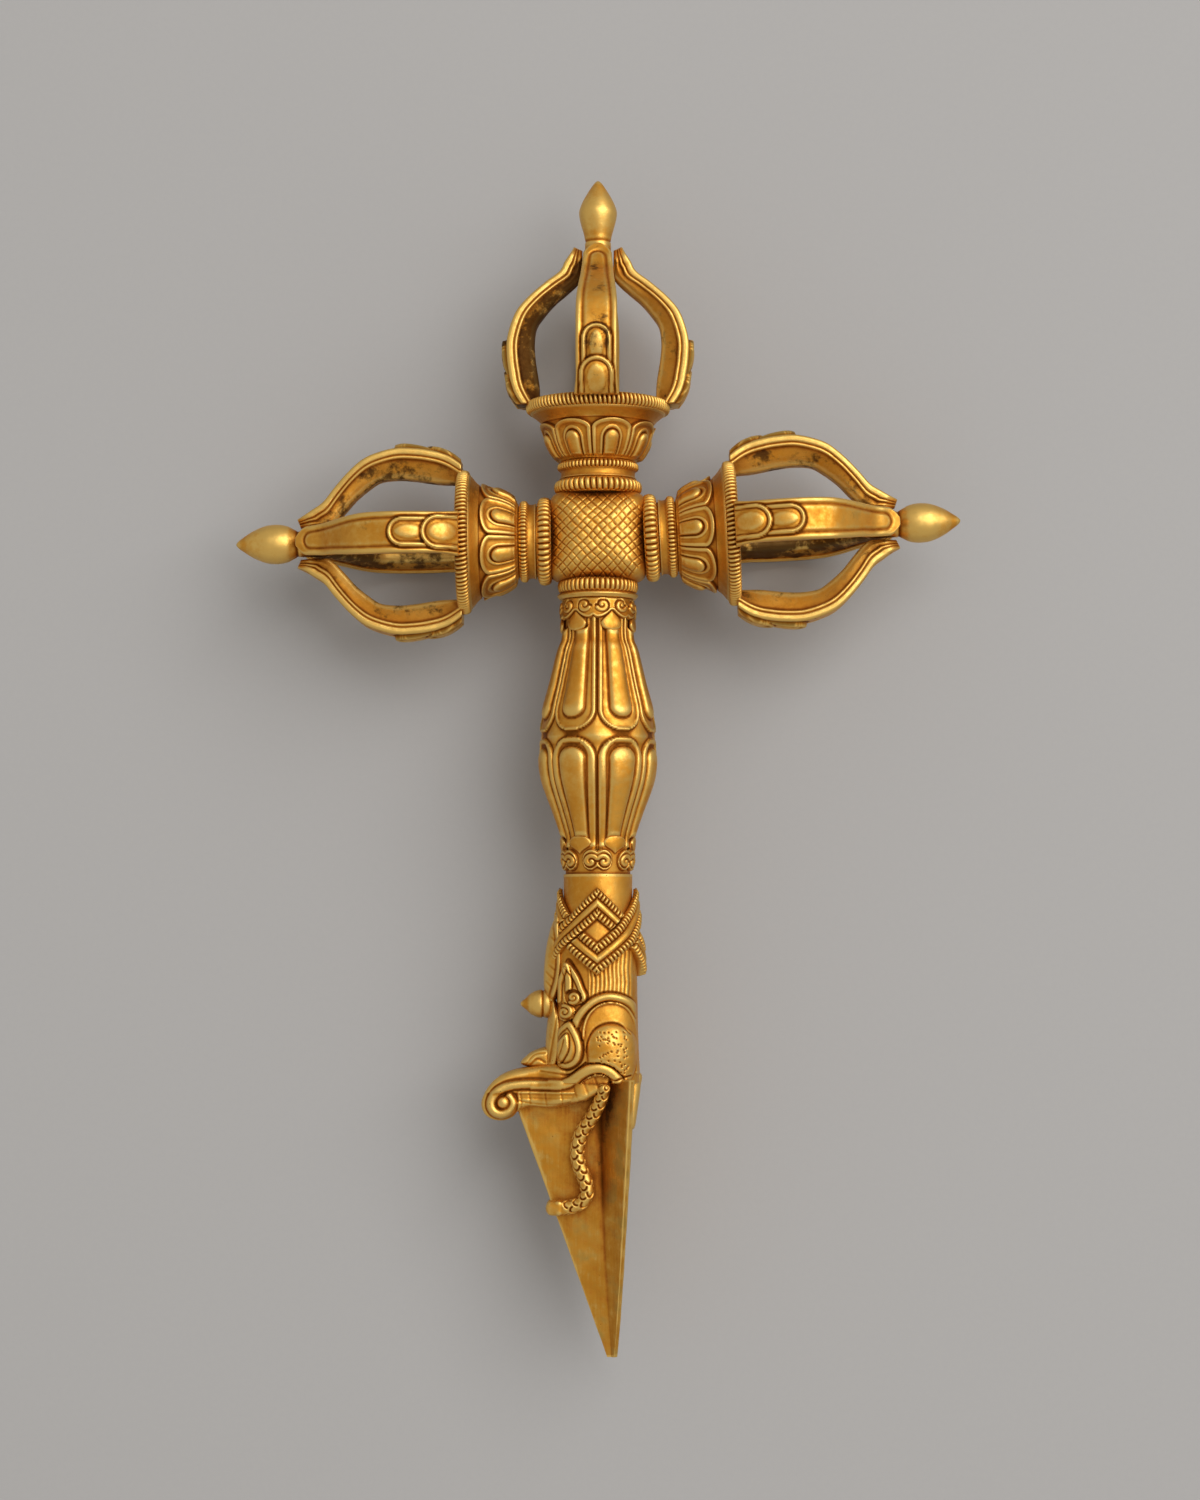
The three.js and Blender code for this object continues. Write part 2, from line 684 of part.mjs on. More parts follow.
// Makara head: round under the knot, fuller at the cheeks, with an eye and a cheek on each face.
function makaraHead() {
  // share of the head's length, then how far the nape and the two faces stand out from their full size
  const stations = [
    [0, -0.5, -0.9],
    [0.28, -0.4, -0.6],
    [0.5, -0.3, -0.2],
    [0.68, -0.2, 0],
    [0.85, 0, -0.2],
    [1, 0.2, -0.8],
  ];
  const sides = 24;
  const squareness = 2.7;
  const skull = loft(stations.map(([share, nape, depth]) => {
    const minus = napeReach + nape;
    return Array.from({ length: sides }, (_, i) => {
      const angle = (i / sides) * 2 * Math.PI;
      const [c, s] = [Math.cos(angle), Math.sin(angle)];
      const size = (Math.abs(c) ** squareness + Math.abs(s) ** squareness) ** (-1 / squareness);
      const x = (snoutReach - minus) / 2 + ((snoutReach + minus) / 2) * c * size;
      return new THREE.Vector3(x, headBottom + share * headLength, (headHalfDepth + depth) * s * size);
    });
  }));
  const bosses = [];
  for (const face of [-1, 1]) {
    const cheek = new THREE.SphereGeometry(1, 12, 7).scale(5, 5.2, 3.4);
    bosses.push(cheek.translate(-1.9, headTop - 6.8, face * (headHalfDepth - 2.6)));
    const eye = new THREE.SphereGeometry(1, 10, 7).scale(2.6, 4.4, 2.4);
    bosses.push(eye.translate(5.4, headTop - 7.1, face * (headHalfDepth - 3.0)));
  }
  const middle = headBottom + headLength / 2;
  const bore = new THREE.CylinderGeometry(hole, hole, headLength + 2, 20).translate(0, middle, 0);
  const limit = new THREE.BoxGeometry(60, headLength, 60).translate(0, middle, 0);
  const whole = solidOf(join(skull, ...bosses)).intersect(solidOf(limit));
  return cut(geometryOf(whole), bore, knotBand(fit), crestRoom());
}

// Trunk: the upper lip runs out over the gum and rolls into a scroll, with a small leaf on top.
function trunk() {
  const inner = snoutReach + fit;
  const brow = headTop - browHeight;
  const scrollX = trunkReach - scrollRadius;
  const scrollY = headTop + 4.7;
  const finGap = snoutFinReach - rootLean + 2 * fit;
  const shape = new THREE.Shape();
  shape.moveTo(gumInner, bladeRoot);
  shape.lineTo(inner, bladeRoot);
  shape.lineTo(inner, brow);
  shape.lineTo(crestReach + fit, brow);
  shape.lineTo(crestReach + fit, brow - leafHeight + 0.2);
  shape.lineTo(crestReach + fit + 0.9, brow - leafHeight);
  shape.lineTo(crestReach + fit + 2.9, brow - leafHeight * 0.55);
  shape.lineTo(crestReach + fit + 4.0, brow - 0.4);
  const roll = [
    [-0.19, -1.4],
    [0.44, -0.98],
    [0.84, -0.51],
    [1, 0.02],
    [0.84, 0.58],
    [0.47, 0.93],
    [0.02, 1.02],
    [-0.37, 0.9],
  ];
  shape.splineThru(roll.map(([x, y]) => {
    return new THREE.Vector2(scrollX + x * scrollRadius, scrollY + y * scrollRadius);
  }));
  shape.lineTo(finGap, scrollY + 0.6 * scrollRadius);
  shape.lineTo(finGap, gumTop);
  shape.lineTo(gumInner, gumTop);
  shape.closePath();
  return slab(shape, trunkHalfWidth, 0.3);
}

// Jewel nub: a pointed bud that stands out of the crest, its axis along the snout's direction.
function jewelNub() {
  const base = crestReach + fit;
  const nub = turned([
    [0, base],
    [nubRadius * 0.8, base],
    [nubRadius, base + nubLength * 0.22],
    [nubRadius * 0.86, base + nubLength * 0.5],
    [nubRadius * 0.5, base + nubLength * 0.78],
    [0, base + nubLength],
  ], 16);
  return nub.rotateZ(-Math.PI / 2).translate(0, headTop - nubHeight - 1.3, 0);
}

function lowerJaw() {
  const outer = -napeReach - 0.2;
  const inner = outer + jawThickness;
  return slab(outlineOf([
    [inner, bladeRoot],
    [outer + 0.1, bladeRoot],
    [outer, bladeRoot + jawLength * 0.5],
    [outer + 0.2, bladeRoot + jawLength * 0.82],
    [outer + 1.6, bladeRoot + jawLength],
    [inner - 0.6, bladeRoot + jawLength * 0.9],
    [inner, bladeRoot + jawLength * 0.55],
  ]), jawHalfWidth, 0.8);
}

// Blade sections: three fins with hollow faces between them, leaning away from the snout.
const finAngles = [0, 120, 240];

function bladeSection(height) {
  const share = (height - bladeRoot) / (bladeReach - bladeRoot);
  const lean = -mix(rootLean, tipLean, share);
  const edge = mix(finEdge, tipEdge, share) / 2;
  const rear = tipFinReach + (rearFinReach - tipFinReach) * (1 - share) ** 0.85;
  const hollow = mix(rootHollow, tipHollow, share) + hollowSwell * Math.sin(Math.PI * share);
  const underGum = height > gumTop + fit / 2;
  const snoutFin = mix(snoutFinReach, tipFinReach, (height - gumTop) / (bladeReach - gumTop));
  const reaches = [underGum ? snoutFin : hollow + 1.5, rear, rear];
  return finAngles.flatMap((turn, fin) => {
    const along = new THREE.Vector2(Math.cos(turn * degrees), Math.sin(turn * degrees));
    const across = new THREE.Vector2(-along.y, along.x);
    const valley = new THREE.Vector2(Math.cos((turn + 60) * degrees), Math.sin((turn + 60) * degrees));
    const flank = Math.max(reaches[fin] * 0.5, hollow * 0.9);
    const half = edge + finSwell * Math.min(1, reaches[fin] / (4 * hollow));
    return [
      along.clone().multiplyScalar(flank).addScaledVector(across, -half),
      along.clone().multiplyScalar(reaches[fin]).addScaledVector(across, -edge),
      along.clone().multiplyScalar(reaches[fin]).addScaledVector(across, edge),
      along.clone().multiplyScalar(flank).addScaledVector(across, half),
      valley.multiplyScalar(hollow),
    ].map((point) => new THREE.Vector3(point.x + lean, height, point.y));
  });
}

function blade() {
  const finRoot = gumTop + fit;
  const shares = [0.12, 0.27, 0.42, 0.57, 0.72, 0.86, 1];
  const heights = [bladeRoot, gumTop, finRoot, ...shares.map((share) => mix(finRoot, bladeReach, share))];
  const body = loft(heights.map(bladeSection));
  const tangTop = blockLowerHalf - tangDepth;
  const tangLength = bladeRoot + 3 - tangTop;
  const tang = new THREE.CylinderGeometry(tangRadius, tangRadius, tangLength, 20);
  return join(body, tang.translate(0, tangTop + tangLength / 2, 0));
}

// How far the blade's front face stands from the middle plane at one place.
function frontFace(x, height) {
  const outline = bladeSection(height);
  let depth = 0;
  outline.forEach((a, i) => {
    const b = outline[(i + 1) % outline.length];
    const share = (x - a.x) / (b.x - a.x);
    if (share >= 0 && share <= 1) depth = Math.max(depth, mix(a.z, b.z, share));
  });
  return depth;
}

function tubeAlong(points, radius, sides, steps) {
  const section = new THREE.Shape(Array.from({ length: sides }, (_, i) => {
    const angle = (i / sides) * 2 * Math.PI;
    return new THREE.Vector2(radius * Math.cos(angle), radius * Math.sin(angle));
  }));
  const path = new THREE.CatmullRomCurve3(points);
  return new THREE.ExtrudeGeometry(section, { extrudePath: path, steps });
}

// Serpent on a blade face: out of the corner of the mouth, down the valley, and away over the fin's edge.
function faceSerpent(face) {
  // shares of its reach and of its drop, then mm above the blade's face
  const route = [
    [-0.24, 0.07, 3.0],
    [-0.13, 0.193, 2.4],
    [0.056, 0.319, 1.2],
    [0.268, 0.437, 0.6],
    [0.38, 0.556, 0.3],
    [0.352, 0.67, 0.3],
    [0.24, 0.785, 0.3],
    [0.204, 0.881, 0.3],
    [0.306, 0.956, 0.3],
    [0.537, 0.993, 0.3],
    [0.778, 1, 0.4],
    [1, 1, 0.8],
  ];
  return tubeAlong(route.map(([reach, drop, lift]) => {
    const x = reach * serpentReach;
    const height = headTop + drop * serpentDrop;
    return new THREE.Vector3(x, height, face * (frontFace(x, height) + serpentRadius + fit + lift));
  }), serpentRadius, 7, 26);
}

// The dagger

function handle() {
  const group = new THREE.Group();
  group.rotation.z = Math.PI;
  group.add(piece('grip_ribbed_collar', gripCollar()));
  group.add(piece('upper_cloud_collar', upperCloudCollar()));
  group.add(piece('lotus_grip', lotusGrip()));
  group.add(piece('lower_cloud_collar', lowerCloudCollar()));
  group.add(piece('shaft_ferrule', ferrule()));
  group.add(piece('knot_band', cut(knotBand(0), crestRoom())));
  group.add(piece('makara_head', makaraHead()));
  group.add(piece('makara_forehead_crest', foreheadCrest()));
  group.add(piece('makara_jewel_nub', jewelNub()));
  group.add(piece('makara_trunk', trunk()));
  group.add(piece('makara_lower_jaw', lowerJaw()));
  group.add(piece('blade', blade()));
  group.add(piece('serpent_front', faceSerpent(1)));
  group.add(piece('serpent_back', faceSerpent(-1)));
  return group;
}

const phurba = new THREE.Group();
phurba.position.set(0, (bladeReach - topReach) / 2, restReach);
phurba.add(piece('crossing_block', crossingBlock()));
phurba.add(vajraHead('top', headTurns.top, topReach, topCageReach, topCageHeight, 'right', 'left'));
phurba.add(vajraHead('left', headTurns.left, sideReach, sideCageReach, cageHeight, 'upper', 'lower'));
phurba.add(vajraHead('right', headTurns.right, sideReach, sideCageReach, cageHeight, 'lower', 'upper'));
phurba.add(handle());

export default phurba;
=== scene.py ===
# Gilt ritual dagger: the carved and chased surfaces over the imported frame.
# Sizes are millimetres in each dictionary and become metres when a mesh is made.
import math
from functools import partial
import bpy
import numpy as np
from mathutils import Matrix, Vector


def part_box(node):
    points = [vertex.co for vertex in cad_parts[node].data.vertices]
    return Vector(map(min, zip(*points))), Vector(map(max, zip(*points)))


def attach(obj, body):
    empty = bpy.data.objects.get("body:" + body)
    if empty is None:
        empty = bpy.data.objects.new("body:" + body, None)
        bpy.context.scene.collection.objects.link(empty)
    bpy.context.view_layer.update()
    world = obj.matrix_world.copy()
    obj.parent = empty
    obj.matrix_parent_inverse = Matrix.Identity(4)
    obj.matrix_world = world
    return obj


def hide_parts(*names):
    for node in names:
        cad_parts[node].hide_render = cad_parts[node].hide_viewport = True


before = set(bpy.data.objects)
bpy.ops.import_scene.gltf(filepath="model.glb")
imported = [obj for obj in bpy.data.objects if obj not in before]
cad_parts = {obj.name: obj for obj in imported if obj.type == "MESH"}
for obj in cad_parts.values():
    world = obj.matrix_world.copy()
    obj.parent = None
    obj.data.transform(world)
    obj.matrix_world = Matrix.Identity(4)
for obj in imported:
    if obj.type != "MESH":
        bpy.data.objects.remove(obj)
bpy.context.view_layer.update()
mm = 0.001

# Where the arms of the cross lie: each one is modelled along +Y from the crossing, with +Z to the front
dagger = dict(
    topReach=76.8,      # crossing centre to the tip of the top finial
    sideReach=76.4,
    bladeReach=170.4,   # crossing centre to the blade tip
    restReach=20.9,     # axis above the table
    turns=dict(top=0, left=90.5, right=-86.9, handle=180),
    rolls=dict(top=-6, left=1.5, right=20),   # how far each head's petals are turned on its arm
)
crossingY = (dagger["bladeReach"] - dagger["topReach"]) / 2
crossing = Vector((0, crossingY, dagger["restReach"])) * mm


# How far along its arm a node of the top head or the handle begins and ends, read from the frame
def span(node, handle=False):
    low, high = (corner.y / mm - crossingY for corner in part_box(node))
    return (-high, -low) if handle else (low, high)


petals = math.tau / 8   # every lotus has eight petals


# Small geometry helpers

def mix(a, b, t):
    return a + (b - a) * t


def smooth(t):   # 0 below 0, 1 above 1, soft in between
    t = np.clip(t, 0, 1)
    return t * t * (3 - 2 * t)


def ridge(distance, halfWidth):   # a round-backed ridge, 1 on its line and 0 past its half width
    return np.sqrt(np.clip(1 - (distance / halfWidth) ** 2, 0, 1))


def line(distance, halfWidth):   # a soft chased line, 1 in the middle
    return np.exp(-(distance / halfWidth) ** 2 * 2.2)


def toNearest(value, pitch=1):   # how far a value lies from the nearest whole pitch
    return (value / pitch - np.round(value / pitch)) * pitch


def toMiddle(turn):   # how far a value lies from the middle between two whole ones
    return np.abs(turn - np.floor(turn) - 0.5)


# A smooth line through the given points, with a point about every gap
def smoothLine(points, gap, closed=False):
    points = np.array(points, float)
    if closed:
        points = np.vstack([points[-1], points, points[:2]])
    else:
        points = np.vstack([2 * points[0] - points[1], points, 2 * points[-1] - points[-2]])
    out = []
    for before, a, b, after in zip(points, points[1:], points[2:], points[3:]):
        for t in np.linspace(0, 1, max(2, int(np.linalg.norm(b - a) / gap)), endpoint=False):
            out.append(0.5 * (2 * a + (b - before) * t + (2 * before - 5 * a + 4 * b - after) * t ** 2
                              + (3 * a - before - 3 * b + after) * t ** 3))
    if not closed:
        out.append(points[-2])
    return np.array(out)


# The same with straight stretches
def straightLine(points, gap):
    points = np.array(points, float)
    out = []
    for a, b in zip(points, points[1:]):
        for t in np.linspace(0, 1, max(1, math.ceil(np.linalg.norm(b - a) / gap)), endpoint=False):
            out.append(a + (b - a) * t)
    out.append(points[-1])
    return np.array(out)


def spiral(centre, radius, turns, start, growth, count=40):
    angles = np.linspace(0, math.tau * abs(turns), count) * np.sign(turns) + math.radians(start)
    reach = radius * np.linspace(1, growth, count)
    return np.column_stack([centre[0] + reach * np.cos(angles), centre[1] + reach * np.sin(angles)])


def lengthAlong(points):   # mm along a line, at each of its points
    return np.concatenate([[0], np.cumsum(np.linalg.norm(np.diff(points, axis=0), axis=1))])


# Distance from each point to a line of short stretches, for points within 4 mm of the line's box
def distanceTo(x, y, path):
    best = np.full(np.shape(x), 1e9)
    low, high = path.min(0) - 4, path.max(0) + 4
    near = (x > low[0]) & (x < high[0]) & (y > low[1]) & (y < high[1])
    px, py = x[near], y[near]
    found = np.full(px.shape, 1e9)
    for (ax, ay), (bx, by) in zip(path, path[1:]):
        dx, dy = bx - ax, by - ay
        t = np.clip(((px - ax) * dx + (py - ay) * dy) / (dx * dx + dy * dy + 1e-12), 0, 1)
        found = np.minimum(found, np.hypot(px - ax - t * dx, py - ay - t * dy))
    best[near] = found
    return best


# Distance inside a closed outline, negative outside it
def depthInside(x, y, outline):
    path = np.vstack([outline, outline[:1]])
    distance = distanceTo(x, y, path)
    crossings = np.zeros(np.shape(x), int)
    for (ax, ay), (bx, by) in zip(path, path[1:]):
        if ay == by:
            continue
        hit = ((ay > y) != (by > y)) & (x < (bx - ax) * (y - ay) / (by - ay) + ax)
        crossings += hit
    return np.where(crossings % 2 == 1, distance, -distance)


def fromPath(x, y, points, gap=0.4):   # distance to the smooth line through the points
    return distanceTo(x, y, smoothLine(points, gap))


def insideOf(x, y, points, gap):   # distance inside the smooth closed line through the points
    return depthInside(x, y, smoothLine(points, gap, closed=True))


# Making and shaping meshes

def newPiece(name, corners, edges, faces):   # corners in mm
    mesh = bpy.data.meshes.new(name)
    mesh.from_pydata([tuple(c) for c in np.array(corners) * mm], edges, faces)
    piece = bpy.data.objects.new(name, mesh)
    bpy.context.collection.objects.link(piece)
    return piece


# Skins a row of rings of (x, y, z) in mm, all with as many points, and closes both ends
def skin(name, rings):
    count = len(rings[0])
    last = (len(rings) - 1) * count
    faces = [(start + i, start + (i + 1) % count, start + count + (i + 1) % count, start + count + i)
             for start in range(0, last, count) for i in range(count)]
    faces += [tuple(range(count))[::-1], tuple(range(last, last + count))]
    return newPiece(name, np.vstack(rings), [], faces)


def select(piece, *others):   # only these, and the first one active
    bpy.ops.object.select_all(action="DESELECT")
    for each in (piece, *others):
        each.select_set(True)
    bpy.context.view_layer.objects.active = piece


def editMode(piece):
    select(piece)
    bpy.ops.object.mode_set(mode="EDIT")
    bpy.ops.mesh.select_all(action="SELECT")


def objectMode():
    bpy.ops.object.mode_set(mode="OBJECT")


def cleanMesh(piece):
    editMode(piece)
    bpy.ops.mesh.remove_doubles(threshold=0.002 * mm)
    bpy.ops.mesh.normals_make_consistent(inside=False)
    objectMode()
    return piece


# Turns a profile of (radius, height) corners round the arm's axis; one with a bore closes on itself
def spun(name, profile, steps, bore=0):
    if bore:
        profile = [(bore, profile[0][1]), *profile, (bore, profile[-1][1])]
    count = len(profile)
    edges = [(i, i + 1) for i in range(count - 1)] + ([(count - 1, 0)] if bore else [])
    piece = newPiece(name, [(radius, height, 0) for radius, height in profile], edges, [])
    select(piece)
    turn = piece.modifiers.new("turn", "SCREW")
    turn.axis, turn.angle, turn.screw_offset = "Y", math.tau, 0
    turn.steps = turn.render_steps = steps
    turn.use_merge_vertices, turn.merge_threshold = True, 0.002 * mm
    bpy.ops.object.modifier_apply(modifier=turn.name)
    return cleanMesh(piece)


def places(piece):   # the vertices in mm, as rows of x, y, z
    out = np.empty(len(piece.data.vertices) * 3)
    piece.data.vertices.foreach_get("co", out)
    return out.reshape(-1, 3) / mm


def setPlaces(piece, rows):
    piece.data.vertices.foreach_set("co", (rows * mm).ravel())
    piece.data.update()


def normalsOf(piece):
    out = np.empty(len(piece.data.vertices) * 3, np.float32)
    piece.data.vertex_normals.foreach_get("vector", out)
    return out.reshape(-1, 3)


# Moves what stands outside the core radius: relief(azimuth, height, radius) is in mm, outwards from the axis
def carve(piece, relief, core):
    rows = places(piece)
    x, height, z = rows.T
    radius = np.hypot(x, z)
    outer = radius > core
    shift = np.zeros(len(rows))
    shift[outer] = relief(np.arctan2(x, z)[outer], height[outer], radius[outer])
    rows[:, ::2] *= (1 + shift / np.maximum(radius, 0.1))[:, None]
    setPlaces(piece, rows)
    return piece


def mark(piece, name, values):   # gives each place a value that the finish reads
    shares = np.array(values, np.float32)
    piece.data.attributes.new(name, "FLOAT", "POINT").data.foreach_set("value", shares)


# Marks how hollow each place is, for the patina: 0 on a proud edge, 0.5 on a plain face, 1 in a groove
def markHollows(piece, rounds=14, reach=0.14):
    ends = np.empty(len(piece.data.edges) * 2, np.int32)
    piece.data.edges.foreach_get("vertices", ends)
    ends = ends.reshape(-1, 2)
    rows = places(piece)
    count = len(rows)
    degree = np.bincount(ends.ravel(), minlength=count)[:, None]
    soft = rows.copy()
    for _ in range(rounds):
        total = np.column_stack([
            np.bincount(ends[:, 0], soft[ends[:, 1], axis], count)
            + np.bincount(ends[:, 1], soft[ends[:, 0], axis], count) for axis in range(3)])
        soft = (soft + total / np.maximum(degree, 1)) / 2
    depth = ((soft - rows) * normalsOf(piece)).sum(1)
    mark(piece, "hollow", np.clip(0.5 + depth / (2 * reach), 0, 1))


# Puts a piece made along +Y on its arm
def toArm(piece, arm, roll=0):
    turn = Matrix.Rotation(math.radians(dagger["turns"][arm]), 4, "Z")
    piece.data.transform(Matrix.Translation(crossing) @ turn @ Matrix.Rotation(math.radians(roll), 4, "Y"))
    return piece


def copyOf(piece, name):
    copy = piece.copy()
    copy.data = piece.data.copy()
    copy.name = copy.data.name = name
    bpy.context.collection.objects.link(copy)
    return copy


def dress(piece, material, node, angle=180):
    piece.data.materials.clear()
    piece.data.materials.append(material)
    select(piece)
    if angle < 180:
        bpy.ops.object.shade_smooth_by_angle(angle=math.radians(angle))
    else:
        bpy.ops.object.shade_smooth()
    piece.select_set(False)
    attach(piece, "root")
    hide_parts(node)


# Finishes

def linear(hexColour):   # sRGB hex to the linear colour that a socket takes
    values = [int(hexColour[i:i + 2], 16) / 255 for i in (1, 3, 5)]
    return [v / 12.92 if v <= 0.04045 else ((v + 0.055) / 1.055) ** 2.4 for v in values] + [1]


# Adds a node and gives one of its outputs. An input is another node's output, a number or a hex colour.
def addNode(tree, kind, inputs, output=0, **settings):
    node = tree.nodes.new(kind)
    for name, value in settings.items():
        setattr(node, name, value)
    for name, source in inputs.items():
        if isinstance(source, bpy.types.NodeSocket):
            tree.links.new(source, node.inputs[name])
        else:
            node.inputs[name].default_value = linear(source) if isinstance(source, str) else source
    return node.outputs[output] if node.outputs else node


# A new material, the function that adds a node to it, and the place on the object in metres
def newMaterial(name):
    material = bpy.data.materials.new(name)
    material.use_nodes = True
    material.node_tree.nodes.clear()
    add = partial(addNode, material.node_tree)
    return material, add, add("ShaderNodeTexCoord", {}, "Object")


# Cast copper alloy, gilt with mercury and burnished with agate: bright on the proud edges, orange-brown where
# the gold is thin in the hollows, darker with painted shade where sheltered, with clouds, casting pits and
# fine chasing marks. Sizes are in mm.
giltLook = dict(
    burnished="#E4BC68", plain="#CE8E30", warm="#DCA244", thin="#AA6622", soiled="#744212",
    greenish="#97884A", patina="#482A17", greenFrom=0.64, cloudSize=9.0, mottleSize=1.4, grainSize=0.22,
    waveSize=2.6, patchSize=4.2, scratchSize=0.16, scratchLength=14, pitSpacing=2.3, pitSize=0.13,
    shelterReach=4.5, grainDepth=0.014, waveDepth=0.07, mottleDepth=0.032, scratchDepth=0.008, pitDepth=0.07,
    streaks=0.0)


def giltMetal(name, look, wear, roughness):
    material, add, where = newMaterial(name)
    # scratches are drawn out lengthwise
    drawn = add("ShaderNodeMapping", {"Vector": where, "Scale": (1, 1 / look["scratchLength"], 1)})
    noises = {}
    for kind, vector, detail, rough in (
            ("cloud", where, 3.0, 0.55), ("mottle", where, 4.0, 0.65), ("grain", where, 2.0, 0.55),
            ("wave", where, 1.0, 0.55), ("scratch", drawn, 2.0, 0.6), ("patch", where, 5.0, 0.7)):
        noises[kind] = add("ShaderNodeTexNoise", {
            "Vector": vector, "Scale": 1000 / look[f"{kind}Size"], "Detail": detail, "Roughness": rough})
    clouds, mottle, grain, wave, scratches, patches = noises.values()
    pits = add("ShaderNodeTexVoronoi", {"Vector": where, "Scale": 1000 / look["pitSpacing"]}, "Distance")
    hollow = add("ShaderNodeAttribute", {}, "Fac", attribute_name="hollow")
    # wear_and_shade: the worn gold inside the prongs, and painted shade on the blade under the head and along
    # its valley
    wear_and_shade = add("ShaderNodeAttribute", {}, "Fac", attribute_name="wear_and_shade")
    # how open a place is, at the scale of a collar's recess or the inside of a prong: it darkens sheltered
    # places as painted shade
    openness = add("ShaderNodeAmbientOcclusion", {"Distance": look["shelterReach"] * mm}, "AO", samples=4)
    # The mottle pulls the patina's edge about, so that it doesn't follow the carving like a contour line, and
    # inside the cages the gold is worn away in patches, down to the dark copper; both sums also paint shade,
    # darker the less open a place is. Both sums start lower by half of their noises' weights, and higher by
    # what the openness takes off an open place.
    streaks = look["streaks"]
    grimeAndShade, wornAndShaded = 0.5 - (0.35 + streaks) / 2, 0.26 - 1.5 / 2
    for source, weight in ((hollow, 1.0), (mottle, 0.35), (openness, -0.5), (scratches, streaks)):
        grimeAndShade = add("ShaderNodeMath", {0: source, 1: weight, 2: grimeAndShade}, operation="MULTIPLY_ADD")
    for source, weight in ((wear_and_shade, 0.52), (openness, -0.26), (patches, 1.5)):
        wornAndShaded = add("ShaderNodeMath", {0: source, 1: weight, 2: wornAndShaded}, operation="MULTIPLY_ADD")
    # every share goes softly from one value to another while its measure goes from low to high
    pit, green = look["pitSize"] / look["pitSpacing"], look["greenFrom"]
    shares = {}
    for share, measure, low, high, start, end in (
            ("warm", clouds, 0.35, 0.7, 0, 1),
            ("greenish", clouds, green, green + 0.16, 0, 0.5),
            # thin and soiled colour the patina in the hollows, and also the painted shade of sheltered places
            ("thin", grimeAndShade, 0.52 - 0.04 * wear, 0.86, 0, 1),
            ("soiled", grimeAndShade, 0.87 - 0.06 * wear, 1.28 - 0.1 * wear, 0, 1),
            ("burnished", grimeAndShade, 0.5, 0.26, 0, 0.9),
            ("inPit", pits, 0.4 * pit, pit, 1, 0),
            ("pitted", clouds, 0.42, 0.6, 0, 1),
            # patina is the worn-through gold, with painted shade where a place is sheltered
            ("patina", wornAndShaded, 0.4, 0.66, 0, 0.88),
            ("dull", grimeAndShade, 0.3, 1.0, roughness - 0.05, roughness + 0.2),
            ("uneven", mottle, 0.3, 0.7, -0.07, 0.08)):
        shares[share] = add("ShaderNodeMapRange", {
            "Value": measure, "From Min": low, "From Max": high, "To Min": start, "To Max": end},
            interpolation_type="SMOOTHSTEP")
    shares["pits"] = add("ShaderNodeMath", {0: shares["inPit"], 1: shares["pitted"]}, operation="MULTIPLY")
    colour = look["plain"]
    for share in ("warm", "greenish", "thin", "soiled", "burnished", "pits", "patina"):
        cover = look["soiled" if share == "pits" else share]
        colour = add("ShaderNodeMix", {0: shares[share], 6: colour, 7: cover}, 2, data_type="RGBA")
    height, rough = 0.0, shares["dull"]
    for source, weight in ((grain, look["grainDepth"]), (wave, look["waveDepth"]),
                           (mottle, look["mottleDepth"]), (scratches, look["scratchDepth"]),
                           (shares["pits"], -look["pitDepth"])):
        height = add("ShaderNodeMath", {0: source, 1: weight, 2: height}, operation="MULTIPLY_ADD")
    for source, weight in ((shares["uneven"], 1.0), (shares["patina"], 0.15)):
        rough = add("ShaderNodeMath", {0: source, 1: weight, 2: rough}, operation="MULTIPLY_ADD")
    bump = add("ShaderNodeBump", {"Height": height, "Strength": 1.0, "Distance": mm})
    shader = add("ShaderNodeBsdfPrincipled", {
        "Base Color": colour, "Metallic": 1.0, "Roughness": rough, "Normal": bump})
    add("ShaderNodeOutputMaterial", {"Surface": shader}, is_active_output=True)
    return material


gilt = giltMetal("burnished_gilt_copper", giltLook, wear=1, roughness=0.46)
# The blade was filed and scraped lengthwise, and is streaked with grime
bladeLook = dict(giltLook, plain="#C4882E", warm="#D09A42", greenFrom=0.5, cloudSize=6.0, scratchSize=0.45,
                 scratchLength=22, scratchDepth=0.012, streaks=0.3)
bladeGilt = giltMetal("filed_gilt_copper", bladeLook, wear=1, roughness=0.44)
wornGilt = giltMetal("worn_gilt_copper", giltLook, wear=2, roughness=0.47)


# Two shades of one matter in soft stains: bare copper rod, dark and dull with age, and matte grey paper
copperLook = dict(shades=("#3A2414", "#7A4A26"), stainSize=0.6, detail=3.0, low=0.35, high=0.65, most=1.0,
                  roughness=0.55, metallic=1.0)
paperLook = dict(shades=("#A8A6A5", "#AFADAB"), stainSize=1.2, detail=2.0, low=0.3, high=0.7, most=0.12,
                 roughness=0.9, metallic=0.0)


def stained(name, look):
    material, add, where = newMaterial(name)
    stain = add("ShaderNodeTexNoise", {
        "Vector": where, "Scale": 1000 / look["stainSize"], "Detail": look["detail"]})
    share = add("ShaderNodeMapRange", {
        "Value": stain, "From Min": look["low"], "From Max": look["high"], "To Max": look["most"]},
        interpolation_type="SMOOTHSTEP")
    colour = add("ShaderNodeMix", {0: share, 6: look["shades"][0], 7: look["shades"][1]}, 2, data_type="RGBA")
    shader = add("ShaderNodeBsdfPrincipled", {
        "Base Color": colour, "Metallic": look["metallic"], "Roughness": look["roughness"]})
    add("ShaderNodeOutputMaterial", {"Surface": shader}, is_active_output=True)
    return material


